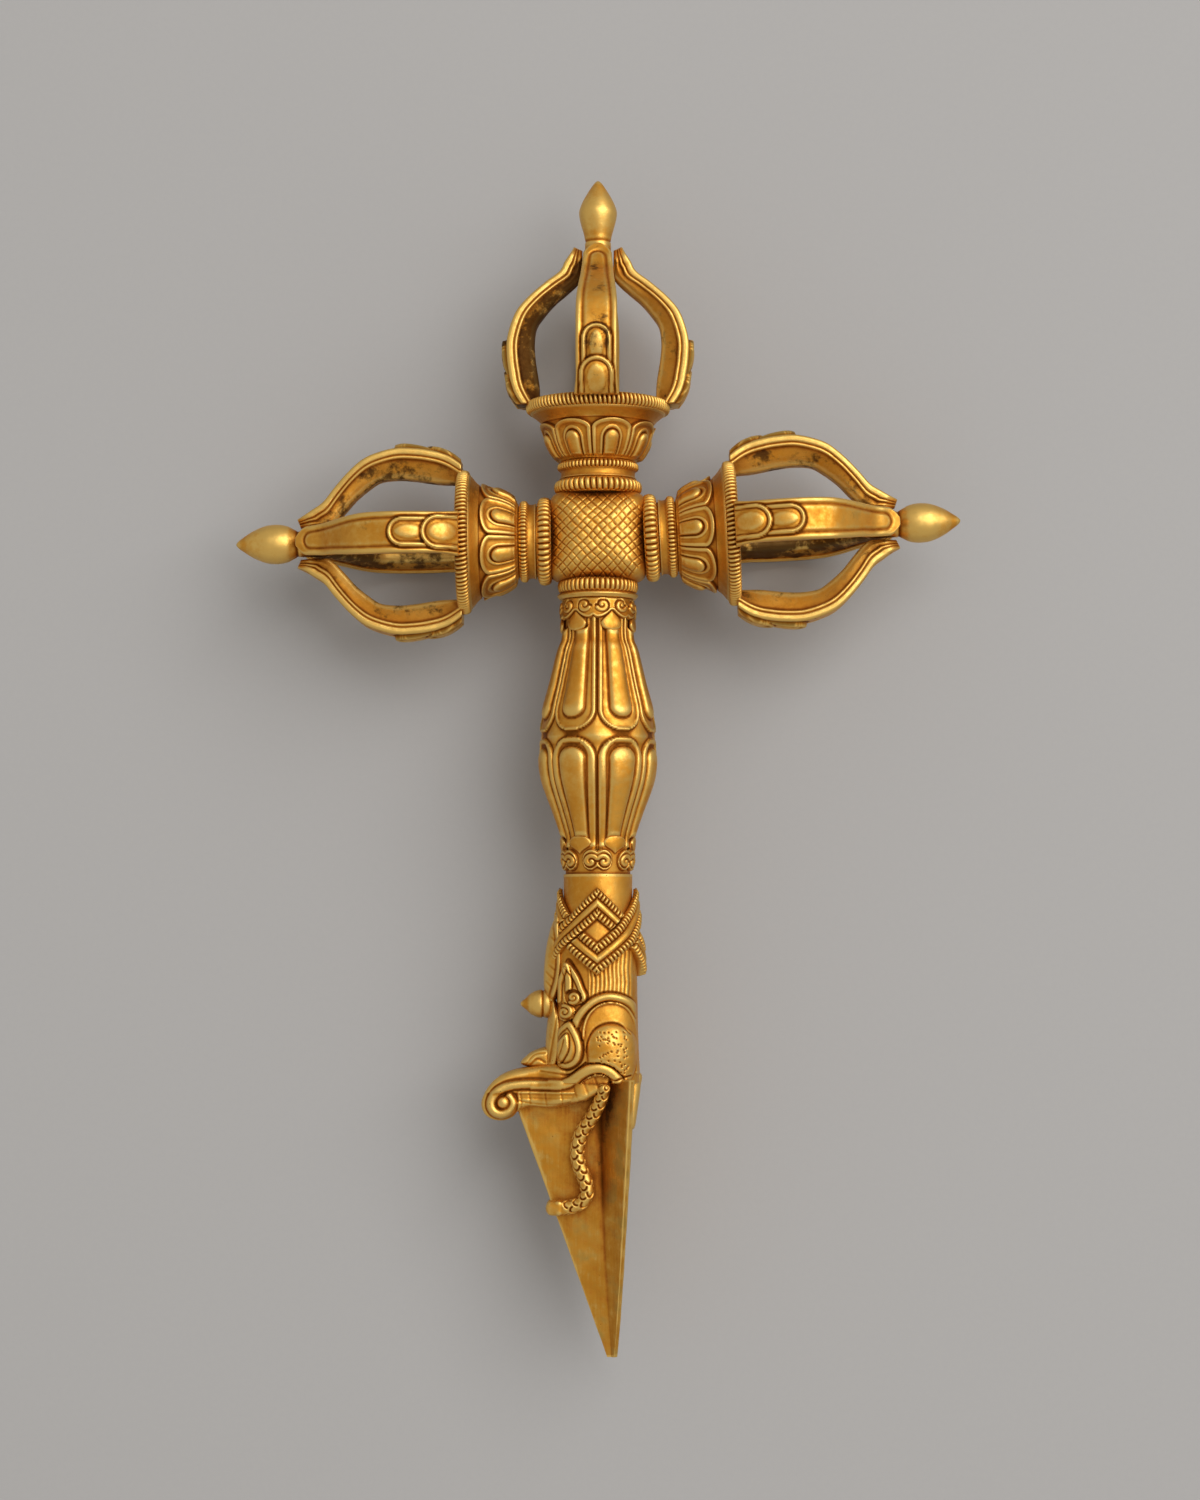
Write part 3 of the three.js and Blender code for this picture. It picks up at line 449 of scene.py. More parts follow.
agedCopper = stained("aged_copper_rod", copperLook)
greyPaper = stained("matte_grey_paper", paperLook)
print("finishes are ready")


# Puts a finished piece of the handle in its place
def onHandle(piece, node, angle=180, material=gilt):
    dress(toArm(piece, "handle"), material, node, angle)


# Camera, table and light

# The photograph's view: an 80 mm lens 0.7 m above the crossing, a little below it and to its right
camera = dict(lens=80, sensor=36, distance=702.7, tiltTop=3.47, fromRight=1.0, picture=(1200, 1500),
              crossingPixel=(598, 541))
# A sheet of grey paper, and one large soft light at the upper right, in metres and watts
stage = dict(tableSize=4.0, keySize=2.0, keyFrom=(0.5, 0.36, 0.84), keyDistance=2.2, keyPower=36,
             world="#B4B2AE", worldStrength=1.25)


def addCamera():
    lens = bpy.data.cameras.new("camera")
    lens.lens, lens.sensor_width, lens.sensor_fit = camera["lens"], camera["sensor"], "AUTO"
    eye = bpy.data.objects.new("camera", lens)
    bpy.context.collection.objects.link(eye)
    across, along = math.radians(camera["fromRight"]), math.radians(camera["tiltTop"])
    forward = Vector((-math.sin(across), math.sin(along), -math.cos(across) * math.cos(along))).normalized()
    up = (Vector((0, 1, 0)) - forward * forward.y).normalized()
    right = forward.cross(up)
    eye.rotation_euler = Matrix((right, up, -forward)).transposed().to_euler()
    width, height = camera["picture"]
    focal = camera["lens"] / camera["sensor"] * height   # in pixels
    x = (camera["crossingPixel"][0] - width / 2) / focal
    y = (height / 2 - camera["crossingPixel"][1]) / focal
    eye.location = crossing - (forward + right * x + up * y) * camera["distance"] * mm
    bpy.context.scene.camera = eye


def paperSheet():
    bpy.ops.mesh.primitive_plane_add(size=stage["tableSize"], location=(0, 0, 0))
    sheet = bpy.context.object
    sheet.name = "table"
    sheet.data.materials.append(greyPaper)


def addLight():
    lamp = bpy.data.lights.new("key", "AREA")
    lamp.shape, lamp.size, lamp.energy = "SQUARE", stage["keySize"], stage["keyPower"]
    key = bpy.data.objects.new("key", lamp)
    bpy.context.collection.objects.link(key)
    direction = Vector(stage["keyFrom"]).normalized()
    key.location = direction * stage["keyDistance"]
    key.rotation_euler = direction.to_track_quat("Z", "Y").to_euler()
    world = bpy.data.worlds.new("studio")
    world.use_nodes = True
    background = world.node_tree.nodes["Background"]
    background.inputs["Color"].default_value = linear(stage["world"])
    background.inputs["Strength"].default_value = stage["worldStrength"]
    bpy.context.scene.world = world


addCamera()
paperSheet()
addLight()
bpy.context.scene.view_settings.view_transform = "Standard"
print("camera, table and light are set")


# The three vajra heads: each piece is made once for the top arm, and copied to the two side arms

headNames = ("top", "left", "right")


# The outside of a ring that stands out in its middle, round at both corners
def bulging(ring, low, high):
    side, bend = ring["radius"] - ring["round"], (high - low) * ring["bend"]
    return smoothLine([(ring["foot"], low), (side, low + bend), (ring["radius"], (low + high) / 2),
                       (side, high - bend), (ring["foot"], high)], ring["rowGap"])


# Cuts a ring into beads or ribs, down to its foot: each is round-backed, with a sharp valley to the next
def ribCut(ring, azimuth, height, radius):
    turn = toNearest((azimuth + ring["slant"] * height) * ring["ribs"] / math.tau)
    return ring["depth"] * (ridge(turn, 1 / 2.2) - 1) * smooth((radius - ring["cutFrom"]) / ring["cutFade"])


# Spins a ring that is bored for the tenon, with a narrow seat above it for the next ring
def seatedRing(name, ring, outside):
    high, core = outside[-1][1], ring["core"]
    return spun(name, [*outside, (core, high), (core, high + ring["gap"])], ring["columns"], ring["bore"])


ribbedCollar = dict(radius=9.3, foot=8.1, round=0.32, bend=0.16, ribs=44, depth=0.75, slant=0.008,
                    cutFrom=8.35, cutFade=0.5, bore=5.9, core=7.4, gap=0.32, rowGap=0.12, columns=440)


def makeRibbedCollar():
    outside = bulging(ribbedCollar, *span("top_ribbed_collar"))
    piece = seatedRing("top_ribbed_collar_visual", ribbedCollar, outside)
    return carve(piece, partial(ribCut, ribbedCollar), 7)


beadedNeck = dict(spool=7.8, flange=8.1, bead=8.6, spoolShare=0.47, ribs=58, depth=0.65, slant=0, cutFrom=7.9,
                  cutFade=0.4, bore=5.9, core=7.4, gap=0.32, columns=464)


def makeBeadedNeck():
    neck = beadedNeck
    low, high = span("top_beaded_neck")
    split = mix(low, high, neck["spoolShare"])
    middle = (split + high) / 2
    flange, spool, bead = neck["flange"], neck["spool"], neck["bead"]
    outside = smoothLine([
        (flange, low), (spool, mix(low, split, 0.3)), (spool, mix(low, split, 0.75)), (spool + 0.15, split),
        (bead - 0.1, mix(split, middle, 0.45)), (bead, middle), (bead - 0.1, mix(high, middle, 0.45)),
        (flange, high)], 0.1)
    return carve(seatedRing("top_beaded_neck_visual", neck, outside), lambda azimuth, height, radius:
                 ribCut(neck, azimuth, height, radius) * smooth((height - split) / 0.25), 7)


# Eight lotus petals with arched tips, a raised border each and a boss at the foot, under a plain flaring lip
lotusCup = dict(foot=7.9, belly=10.2, lip=14.2, socket=5.9, seat=2.5, petalHalf=4.3, columns=464,
                notch=5.7, tip=7.8, petalRise=0.6, bossRise=1.0, bossWidth=1.6, bossTip=5.1)


def makeLotusCup():
    cup = lotusCup
    low, high = span("top_lotus_cup")
    foot, belly, socket, seat, half = (cup[k] for k in ("foot", "belly", "socket", "seat", "petalHalf"))
    top, floor = high - 4, low + 3
    outside = smoothLine([(foot, low), (foot + 0.6, low + 0.8), (belly - 1.0, low + 1.7), (belly, low + 3.7),
                          (belly + 0.9, low + 6.5), (belly + 2.1, low + 8.5), (cup["lip"], high)], 0.12)
    piece = spun("top_lotus_cup_visual", [(0, top), (0, floor), (socket, floor), (socket, low), *outside,
                                          (seat, high), (seat, top)], cup["columns"])

    # A petal's arch, from its foot at the side over the notch to the crown: mm aside, mm up
    turns = np.linspace(0, math.pi / 2, 12)
    arch = np.vstack([[(half, -2)], np.column_stack([half * np.cos(turns),
                                                     mix(cup["notch"], cup["tip"], np.sin(turns))])])

    def relief(azimuth, height, radius):
        aside = toMiddle(azimuth / petals) * 2 * half
        up = height - low
        inside = up < np.interp(-aside, -arch[1:, 0], arch[1:, 1])
        edge = np.where(inside, distanceTo(aside, up, arch), 0)
        petal = cup["petalRise"] * smooth(edge / 0.2) - 0.22 * line(edge, 0.16) * (up < cup["tip"] + 0.2)
        petal += 0.26 * ridge(edge - 0.5, 0.5) - 0.2 * smooth((edge - 0.7) / 0.8)
        # the boss is a long dome with a round end, inside a ring
        over = np.maximum(0, up - (cup["bossTip"] - cup["bossWidth"]))
        fromMiddle = np.hypot(aside, over * 0.85)
        petal += cup["bossRise"] * ridge(fromMiddle, cup["bossWidth"]) ** 0.8
        fromBoss = fromMiddle - cup["bossWidth"]
        petal += 0.2 * ridge(fromBoss - 0.55, 0.34) - 0.2 * line(fromBoss - 0.12, 0.2)
        return petal * smooth((up - 0.05) / 0.6) * np.where(up > cup["tip"] + 0.4, 0, 1)

    return carve(piece, relief, foot - 0.4)


beadedRim = dict(radius=15.3, foot=14.1, round=0.3, bend=0.13, ribs=96, depth=0.95, slant=0.01, cutFrom=14.2,
                 cutFade=0.45, bore=2.5, wobble=0.12, proud=0.32, rowGap=0.11, columns=672)


def makeBeadedRim():
    rim = beadedRim
    low, high = span("top_beaded_rim")
    low, high = low - rim["proud"], high + rim["proud"]
    piece = spun("top_beaded_rim_visual", bulging(rim, low, high), rim["columns"], rim["bore"])
    return carve(piece, lambda azimuth, height, radius: ribCut(rim, azimuth, height, radius)
                 - rim["wobble"] * (1 + np.sin(azimuth * 7 + 2 * np.sin(azimuth * 3))) / 2, 13)


# Prongs: a flat outer face with a sunk line inside each edge, a bead line down each side, and two leaf ends
prongShape = dict(
    foot=(16.1, 12.2), sunk=0.9, reach=dict(front=20.9, side=21.0, topSide=20.5), belly=13.4, hub=3.3,
    halfWidth=4.3, footHalfWidth=4.7, tipHalfWidth=2.9, innerHalfWidth=2.3,
    leaves=((0.36, 9.5, 3.1, 1.5), (0.19, 30, 3.6, 1.95)), leafRise=0.85, bossRise=0.42,
    border=1.35, flange=1.4, sideLength=33.9, topLength=33.0, roundedEnd=2.6, stations=172,
    sectionSteps=(15, 2, 3, 2, 2, 2, 2, 4, 4, 2, 3))


# Rows: height share, outer radius, half width, then the inner edge's height share and radius
def prongRows(reach):
    shape = prongShape
    outerFoot, innerFoot = shape["foot"]
    plain = reach - shape["leafRise"] - shape["bossRise"] - 0.08
    belly, hub, half, tipHalf = (shape[key] for key in ("belly", "hub", "halfWidth", "tipHalfWidth"))
    return np.array([
        (0.0, outerFoot, shape["footHalfWidth"], 0.0, innerFoot),
        (0.077, mix(outerFoot, plain, 0.62), half, 0.106, mix(innerFoot, belly, 0.14)),
        (0.175, plain - 0.45, half, 0.2, mix(innerFoot, belly, 0.52)),
        (0.268, plain - 0.05, half, 0.268, mix(innerFoot, belly, 0.8)),
        (0.378, plain, half, 0.366, belly),
        (0.49, plain - 0.9, half, 0.475, belly - 0.4),
        (0.584, plain - 2.3, half - 0.1, 0.549, belly - 1.9),
        (0.675, plain - 4.9, half - 0.4, 0.631, belly - 4.2),
        (0.761, plain - 8.1, half - 0.8, 0.702, belly - 6.9),
        (0.832, plain - 11.1, half - 1.0, 0.764, mix(hub, belly, 0.1)),
        (0.897, mix(hub, reach, 0.21), tipHalf + 0.2, 0.814, hub),
        (0.95, mix(hub, reach, 0.145), tipHalf, 0.903, hub),
        (1.0, mix(hub, reach, 0.105), tipHalf - 0.9, 0.979, hub)])


# The leaf ends and the sunk line on the outer face: how far it stands out at aside, along mm from the foot
def prongFace(aside, along, half, length):
    shape = prongShape
    over = np.maximum(0, along - (length - half - 0.6))
    inBorder = half - np.hypot(aside, over) - shape["border"]   # the sunk line runs round the tip as well
    rise = -0.26 * line(inBorder, 0.4) - 0.1 * smooth(inBorder / 0.3)
    rise += 0.16 * (1 - (aside / half) ** 2) * smooth(inBorder / 0.8)
    for share, reach, wide, bossHalf in shape["leaves"]:   # the lower leaf lies on the upper one
        under = share * length - along   # mm below the arch's crown
        inside = wide - np.hypot(aside, np.maximum(0, wide - under))
        leaf = shape["leafRise"] * smooth(inside / 0.2) * smooth((under + 0.2) / 0.2)
        leaf = leaf * smooth(1.25 - under / reach)
        rise = rise * (1 - smooth(inside / 0.2)) + leaf
        border = 0.22 * ridge(inside - 0.42, 0.42) - 0.3 * line(inside - 1.0, 0.26)
        rise += border * (inside > 0) * (under < 8)
        rise -= 0.24 * line(inside + 0.1, 0.28) * (inside < 0.1)
        boss = np.clip(1 - (aside / bossHalf) ** 2 - ((under - 4.5) / 2.9) ** 2, 0, 1)
        rise += shape["bossRise"] * np.sqrt(boss)
    return rise


def makeProng(name, reach, length, bottom):
    shape = prongShape
    rows = prongRows(reach)
    fine = smoothLine(np.column_stack([np.linspace(0, 1, len(rows)), rows]), 0.02)
    place = lengthAlong(fine[:, 1:3] * (length, 1))
    even = np.linspace(0, place[-1], shape["stations"])
    fine = np.column_stack([np.interp(even, place, fine[:, k]) for k in range(6)])
    rings, wear_and_shade = [], []
    for (_, outerShare, outer, half, innerShare, inner), along in zip(fine, even):
        over = max(0, along - (place[-1] - shape["roundedEnd"])) / (shape["roundedEnd"] + 0.3)
        half = half * math.sqrt(1 - over ** 2)
        sunk = shape["sunk"] * smooth(1 - outerShare / 0.1)   # the foot goes into the rim
        start = np.array([bottom + outerShare * length - sunk, outer])
        end = np.array([bottom + innerShare * length - sunk, inner])
        deep = np.linalg.norm(end - start)
        thin = min(1, deep / 4.2)
        innerHalf = min(shape["innerHalfWidth"], half - 0.5)
        flange = shape["flange"] * thin
        # half of the section, from the middle of the outer face round to the middle of the inner edge
        corners = [(0, 0), (half - 0.34, 0), (half, 0.4 * thin), (half - 0.02, flange - 0.1 * thin),
                   (half - 0.34, flange + 0.15 * thin), (half - 0.16, flange + 0.45 * thin),
                   (half - 0.2, flange + 0.78 * thin), (half - 0.62, flange + 1.05 * thin),
                   (mix(innerHalf, half, 0.3), mix(flange, deep, 0.62)), (innerHalf, deep - 0.55 * thin),
                   (innerHalf - 0.6, deep), (0, deep)]
        path = [np.linspace(a, b, count, endpoint=False)
                for a, b, count in zip(corners, corners[1:], shape["sectionSteps"])]
        aside, depth = np.vstack([*path, corners[-1]]).T
        lift = np.where(depth < 0.02, prongFace(aside, along, half, place[-1]), 0)
        lift = lift * smooth((half - aside) / 0.25 - 0.2)
        ring = np.column_stack([aside, start + (end - start) / deep * (depth - lift)[:, None]])
        rings.append(np.vstack([ring, ring[-2:0:-1] * (-1, 1, 1)]))
        channel = 0.85 * (depth < 0.02) * smooth((half - shape["border"] - aside) / 0.5)
        innerSide = np.maximum(smooth((depth - shape["flange"] - 0.5) / 0.8), channel)
        wear_and_shade += [*innerSide, *innerSide[-2:0:-1]]
    piece = skin(name, rings)
    mark(piece, "wear_and_shade", wear_and_shade)
    return cleanMesh(piece)


# The spindle in each cage and the bud on its end, turned in one
finial = dict(rod=2.2, hub=2.75, bud=4.15, budLength=12.6, columns=72)
budShape = dict(   # share of the length from the neck, and of the greatest radius
    left=((0, 0.7), (0.06, 0.8), (0.14, 0.92), (0.26, 0.995), (0.37, 1), (0.48, 0.96), (0.6, 0.84),
          (0.74, 0.64), (0.87, 0.38), (0.955, 0.2)),
    top=((0, 0.67), (0.06, 0.7), (0.12, 0.75), (0.22, 0.84), (0.34, 0.93), (0.44, 0.97), (0.52, 0.93),
         (0.64, 0.79), (0.76, 0.59), (0.87, 0.38), (0.955, 0.2)))


def makeFinial(head, reach):
    low = span("top_finial_spindle")[0]
    rod, hub, wide, length = (finial[key] for key in ("rod", "hub", "bud", "budLength"))
    neck = reach - length
    rodEnd = neck - 8 + reach - dagger["topReach"]
    lower = straightLine([(0, low), (rod, low), (rod, rodEnd), (hub, neck - 6.5), (hub, neck - 0.9)], 0.8)
    shape = [(wide * out, neck + length * up) for up, out in budShape[head]]
    upper = smoothLine([(hub - 0.15, neck - 0.5), *shape, (0.3, reach - 0.08)], 0.25)
    return spun(f"{head}_finial_visual", [*lower, *upper, (0, reach)], finial["columns"])


# The pin that locks each head on its tenon, with a domed end sunk in the spool
neckPin = dict(azimuth=40, radius=0.72, end=7.55, length=3.6, bevel=0.25, columns=24)


def makeNeckPin(name):
    radius, length = neckPin["radius"], neckPin["length"]
    bpy.ops.mesh.primitive_cylinder_add(vertices=neckPin["columns"], radius=radius * mm, depth=length * mm)
    pin = bpy.context.object
    pin.name = pin.data.name = name
    editMode(pin)
    bpy.ops.mesh.select_all(action="DESELECT")
    objectMode()
    for face in pin.data.polygons:
        face.select = face.normal.z > 0.9
    bpy.ops.object.mode_set(mode="EDIT")
    bpy.ops.mesh.bevel(offset=neckPin["bevel"] * mm, segments=3, affect="EDGES")
    objectMode()
    height = mix(*span("top_beaded_neck"), beadedNeck["spoolShare"] / 2)
    turn = Matrix.Rotation(math.radians(neckPin["azimuth"]), 4, "Y")
    outwards = Vector((0, 0, neckPin["end"] - length / 2)) * mm
    pin.data.transform(Matrix.Translation(Vector((0, height, 0)) * mm) @ turn @ Matrix.Translation(outwards))
    return pin


# Which way each head's two other prongs lie on the whole dagger, clockwise first
sides = dict(top=("right", "left"), left=("upper", "lower"), right=("lower", "upper"))
# How far the gold inside a prong is worn away, where it isn't the usual share
prongWear = dict(top_front=0.85, top_left=1.3, top_right=0.65, left_front=0.45, left_lower=0.6,
                 left_upper=0.85, right_front=0.45, right_lower=0.6, right_upper=0.75, right_back=1.2)


def scaleWear(piece, share):
    worn = piece.data.attributes["wear_and_shade"].data
    wear_and_shade = np.empty(len(worn), np.float32)
    worn.foreach_get("value", wear_and_shade)
    worn.foreach_set("value", wear_and_shade * share)


def makeHeads():
    makers = dict(ribbed_collar=makeRibbedCollar, beaded_neck=makeBeadedNeck, lotus_cup=makeLotusCup,
                  beaded_rim=makeBeadedRim)
    for part, maker in makers.items():
        first = maker()
        markHollows(first)
        pieces = [first] + [copyOf(first, f"{head}_{part}_visual") for head in headNames[1:]]
        for head, piece in zip(headNames, pieces):
            toArm(piece, head, dagger["rolls"][head] if part == "lotus_cup" else 0)
            dress(piece, gilt, f"{head}_{part}")
    print("collars, necks, cups and rims are carved")
    bottom = span("top_prong_front")[0]
    reaches = prongShape["reach"]
    for first, heads, reach, sideReach, length in (
            ("top", ("top",), dagger["topReach"], reaches["topSide"], prongShape["topLength"]),
            ("left", ("left", "right"), dagger["sideReach"], reaches["side"], prongShape["sideLength"])):
        bud = makeFinial(first, reach)
        pin = makeNeckPin(f"{first}_neck_pin_visual")
        front = makeProng(f"{first}_prong_front_visual", reaches["front"], length, bottom)
        beside = makeProng(f"{first}_prong_{sides[first][0]}_visual", sideReach, length, bottom)
        markHollows(bud)
        markHollows(front, reach=0.18)
        markHollows(beside, reach=0.18)
        for head in heads:
            headBud, headPin = copyOf(bud, f"{head}_finial_piece"), copyOf(pin, f"{head}_pin_piece")
            dress(toArm(headBud, head), gilt, f"{head}_finial_spindle", 50)
            dress(toArm(headPin, head), agedCopper, f"{head}_neck_pin", 50)
            clockwise, other = sides[head]
            for side, made, azimuth in (("front", front, 0), (clockwise, beside, 90), ("back", front, 180),
                                        (other, beside, -90)):
                prong = copyOf(made, f"{head}_prong_{side}_piece")
                prong.data.transform(Matrix.Rotation(math.radians(azimuth), 4, "Y"))
                scaleWear(prong, prongWear.get(f"{head}_{side}", 1))
                dress(toArm(prong, head), wornGilt, f"{head}_prong_{side}")
        for piece in (bud, pin, front, beside):
            bpy.data.objects.remove(piece)
    print("prongs, finials and pins are in place")


makeHeads()


# Crossing block: a square pillow, cross-hatched on its front and back faces

block = dict(half=10.4, topHalf=10.3, lowerHalf=8.9, halfDepth=9.8, squareness=7, crown=3, cuts=94,
             hatchPitch=1.5, hatchDepth=0.22, hatchWidth=0.19, hatchHalf=9.7, hatchTop=9.5, hatchBottom=-8.5,
             hatchCorner=15.4)


def powerSum(a, b, power):   # the length of a and b in a space whose circles are squarish
    return (np.abs(a) ** power + np.abs(b) ** power) ** (1 / power)


def makeBlock():
    bpy.ops.mesh.primitive_cube_add(size=2 * mm)
    piece = bpy.context.object
    piece.name = piece.data.name = "crossing_block_visual"
    editMode(piece)
    bpy.ops.mesh.subdivide(number_cuts=block["cuts"])
    objectMode()
    x, y, z = places(piece).T
    size = powerSum(powerSum(x, y, block["squareness"]), z, block["crown"])
    half = np.where(y > 0, block["topHalf"], block["lowerHalf"])
    rows = np.column_stack([x / size * block["half"], y / size * half, z / size * block["halfDepth"]])
    x, y, z = rows.T
    along, across = (x + y) / math.sqrt(2), (x - y) / math.sqrt(2)
    lines = 0
    for value, other in ((along, across), (across, along)):
        turn = value / block["hatchPitch"] + 0.05 * np.sin(other * 0.9) + 0.09 * np.sin(value * 1.9 + 0.4)
        lines = np.maximum(lines, line(toNearest(turn) * block["hatchPitch"], block["hatchWidth"]))
    room = np.min([block["hatchHalf"] - np.abs(x), block["hatchTop"] - y, y - block["hatchBottom"],
                   block["hatchCorner"] - np.abs(x) - np.abs(y)], axis=0)
    shown = smooth(room / 0.5) * smooth((np.abs(z) - 4) / 1.5)
    rows *= (1 - (lines * block["hatchDepth"] * shown) / np.linalg.norm(rows, axis=1))[:, None]
    setPlaces(piece, rows)
    markHollows(piece, 10)
    piece.data.transform(Matrix.Translation(crossing))
    dress(piece, gilt, "crossing_block")
    print("crossing block is hatched")


makeBlock()


# Handle: ribbed collar, cloud collars and the lotus grip, all threaded on the blade's tang

bore = 2.9
gripCollar = dict(radius=8.5, foot=7.4, ribs=46, depth=0.6, slant=0, cutFrom=7.5, cutFade=0.4, moulding=8.5,
                  neck=7.7, ribShare=0.72, columns=460)


def makeGripCollar():
    low, high = span("grip_ribbed_collar", handle=True)
    split = mix(low, high, gripCollar["ribShare"])
    high += 0.2   # it reaches down to the cloud collar
    side, moulding = gripCollar["radius"] - 0.25, gripCollar["moulding"]
    outside = smoothLine([
        (gripCollar["foot"], low), (side, low + 0.4), (gripCollar["radius"], (low + split) / 2),
        (side, split - 0.4), (gripCollar["neck"] + 0.2, split), (moulding - 0.15, split + 0.3),
        (moulding, (split + high - 0.2) / 2), (moulding - 0.1, high - 0.5), (moulding - 0.5, high)], 0.12)
    piece = spun("grip_ribbed_collar_visual", outside, gripCollar["columns"], bore)
    carve(piece, lambda azimuth, height, radius:
          ribCut(gripCollar, azimuth, height, radius) * smooth((split - 0.1 - height) / 0.3)
          + 0.12 * np.sin(azimuth * 5 + 1) * smooth((height - split) / 0.5) * smooth((radius - 7) / 0.5), 6)
    markHollows(piece)
    onHandle(piece, "grip_ribbed_collar")


# The handle's eight petals are wider at the front and back than at the sides
petalSqueeze = math.radians(5.6)


def petalTurn(azimuth):
    return (azimuth - petalSqueeze * np.sin(2 * azimuth)) / petals


# Cloud collars: six cloud heads, each a scalloped plate with two curls, and a spade-shaped tongue between
# each two. Heights are mm from the collar's plain end; the lower collar is the upper one turned over.
cloudHeads = 6
cloudColumns = 504
upperCloud = dict(
    node="upper_cloud_collar", radius=7.5, flare=0.6, wall=0.9, plate=2.5, lobesHigh=True, roll=6.4,
    curl=(1.85, 1.65), curlRadius=1.2,
    hem=((0, 3.9), (0.5, 4.25), (1.3, 4.3), (2.2, 4.0), (3.0, 3.45), (3.7, 2.85), (4.3, 2.75)),
    foot=((5, 2.7), (5, -2), (-1, -2), (-1, 3.9)),
    tongue=((0, 2.5), (0.8, 3.4), (1.7, 4.25), (2.35, 5.1), (2.3, 5.8), (1.6, 6.6), (0, 7.0)))
lowerCloud = dict(
    node="lower_cloud_collar", radius=7.2, flare=0.8, wall=0.9, plate=2.4, lobesHigh=False, roll=0,
    curl=(1.3, 2.65), curlRadius=1.35,
    hem=((0, 4.7), (0.5, 5.0), (1.2, 5.2), (2.0, 5.0), (2.75, 4.3), (3.1, 3.4)),
    foot=((3.1, 2.4), (2.75, 1.5), (2.0, 0.9), (1.1, 0.8), (0.5, 1.2), (0, 1.5), (-1, 1.5), (-1, 4.7)),
    tongue=((0, 4.2), (0.8, 4.9), (1.9, 5.6), (2.6, 6.4), (2.35, 7.2), (1.4, 7.9), (0, 8.1)))


def makeCloudCollar(cloud):
    low, high = span(cloud["node"], handle=True)
    length = high - low
    thin, plate = cloud["radius"], cloud["plate"]
    wide = thin + cloud["flare"]
    inside = wide - cloud["wall"]
    outside = smoothLine([(thin - 0.15, 0), (thin, 0.5), ((thin + wide) / 2, length / 2), (wide, length)],
                         0.1)
    piece = spun(f"{cloud['node']}_visual", [*outside, (inside, length), (inside, plate)], cloudColumns, bore)
    curl = spiral(cloud["curl"], cloud["curlRadius"], -0.95, 150, 0.12)
    hem, tongue = smoothLine(cloud["hem"], 0.25), smoothLine(cloud["tongue"], 0.25)
    plateEdge = np.vstack([hem, cloud["foot"]])
    widest = tongue[:, 0].argmax()
    pitch = thin * math.tau / cloudHeads

    def wallAt(height):
        return np.interp(height, outside[:, 1], outside[:, 0])

    def fromHead(azimuth):   # mm from the middle of the nearest cloud head
        return np.abs(toNearest((azimuth - math.radians(cloud["roll"])) * cloudHeads / math.tau)) * pitch

    def relief(azimuth, height, radius):
        aside = fromHead(azimuth)
        fromTongue = pitch / 2 - aside
        onPlate = np.clip(depthInside(aside, height, plateEdge), 0, None)
        rise = 0.45 * smooth(onPlate / 0.2) + 0.12 * ridge(onPlate - 0.35, 0.3)
        # each curl is a raised scroll in a sunk ring
        fromCurl = distanceTo(aside, height, curl)
        fromEye = np.hypot(aside - cloud["curl"][0], height - cloud["curl"][1])
        ring = smooth((cloud["curlRadius"] + 0.5 - fromEye) / 0.3)
        rise += ring * (0.32 * ridge(fromCurl, 0.5) - 0.34 * line(fromCurl - 0.66, 0.25))
        onTongue = np.where(fromTongue < np.interp(height, tongue[:, 1], tongue[:, 0], left=-1, right=-1),
                            distanceTo(fromTongue, height, tongue), 0)
        spade = 0.15 * smooth(onTongue / 0.2) + 0.4 * ridge(1 - onTongue / 1.5, 1) * (onTongue > 0)
        rise = np.where(onPlate > 0, rise, spade - 0.2 * line(onPlate, 0.2))
        return (rise - 0.25) * smooth(height / 0.3) * smooth((radius - wallAt(height) + 0.4) / 0.2)

    carve(piece, relief, bore + 1)
    # between the tongues the wall is cut back to the hem
    rows = places(piece)
    radius = np.hypot(rows[:, 0], rows[:, 2])
    height = rows[:, 1]
    aside = fromHead(np.arctan2(rows[:, 0], rows[:, 2]))
    tip = np.interp(aside - pitch / 2, -tongue[widest:, 0], tongue[widest:, 1], left=0)
    cut = np.maximum(tip, np.interp(aside, hem[:, 0], hem[:, 1]) + 0.1)
    over = (height > cut) & (height > plate + 0.05)
    shrink = wallAt(height) - wallAt(cut)
    rows[:, ::2] *= np.where(over & (radius > thin - 0.1), 1 - shrink / np.maximum(radius, 1), 1)[:, None]
    height = np.where(over, np.maximum(cut, plate + 0.05), height)
    rows[:, 1] = low + height if cloud["lobesHigh"] else high - height
    setPlaces(piece, rows)
    cleanMesh(piece)
    markHollows(piece)
    onHandle(piece, cloud["node"])


# Grip: petals hang from the upper collar and rise from the lower one, and meet in diamonds at the waist
grip = dict(upper=7.15, waist=12.1, lower=7.3, upperNeck=6.8, lowerNeck=6.9, bossRise=0.75, columns=480,
            waistFromTop=21.0)
# Each row of petals: mm from the waist to a petal's tip and to the notch between two, the roll inside its
# edge (mm from the edge, half width, rise), its length, and its boss's start, end and half width at both
upperPetals = dict(tip=1.1, notch=5.6, roll=(0.42, 0.4, 0.36), length=22.9, boss=(4.0, 21),
                   bossHalf=(0.5, 0.47))
lowerPetals = dict(tip=0.15, notch=4.6, roll=(0.75, 0.72, 0.42), length=20.9, boss=(2.3, 20),
                   bossHalf=(0.56, 0.46))


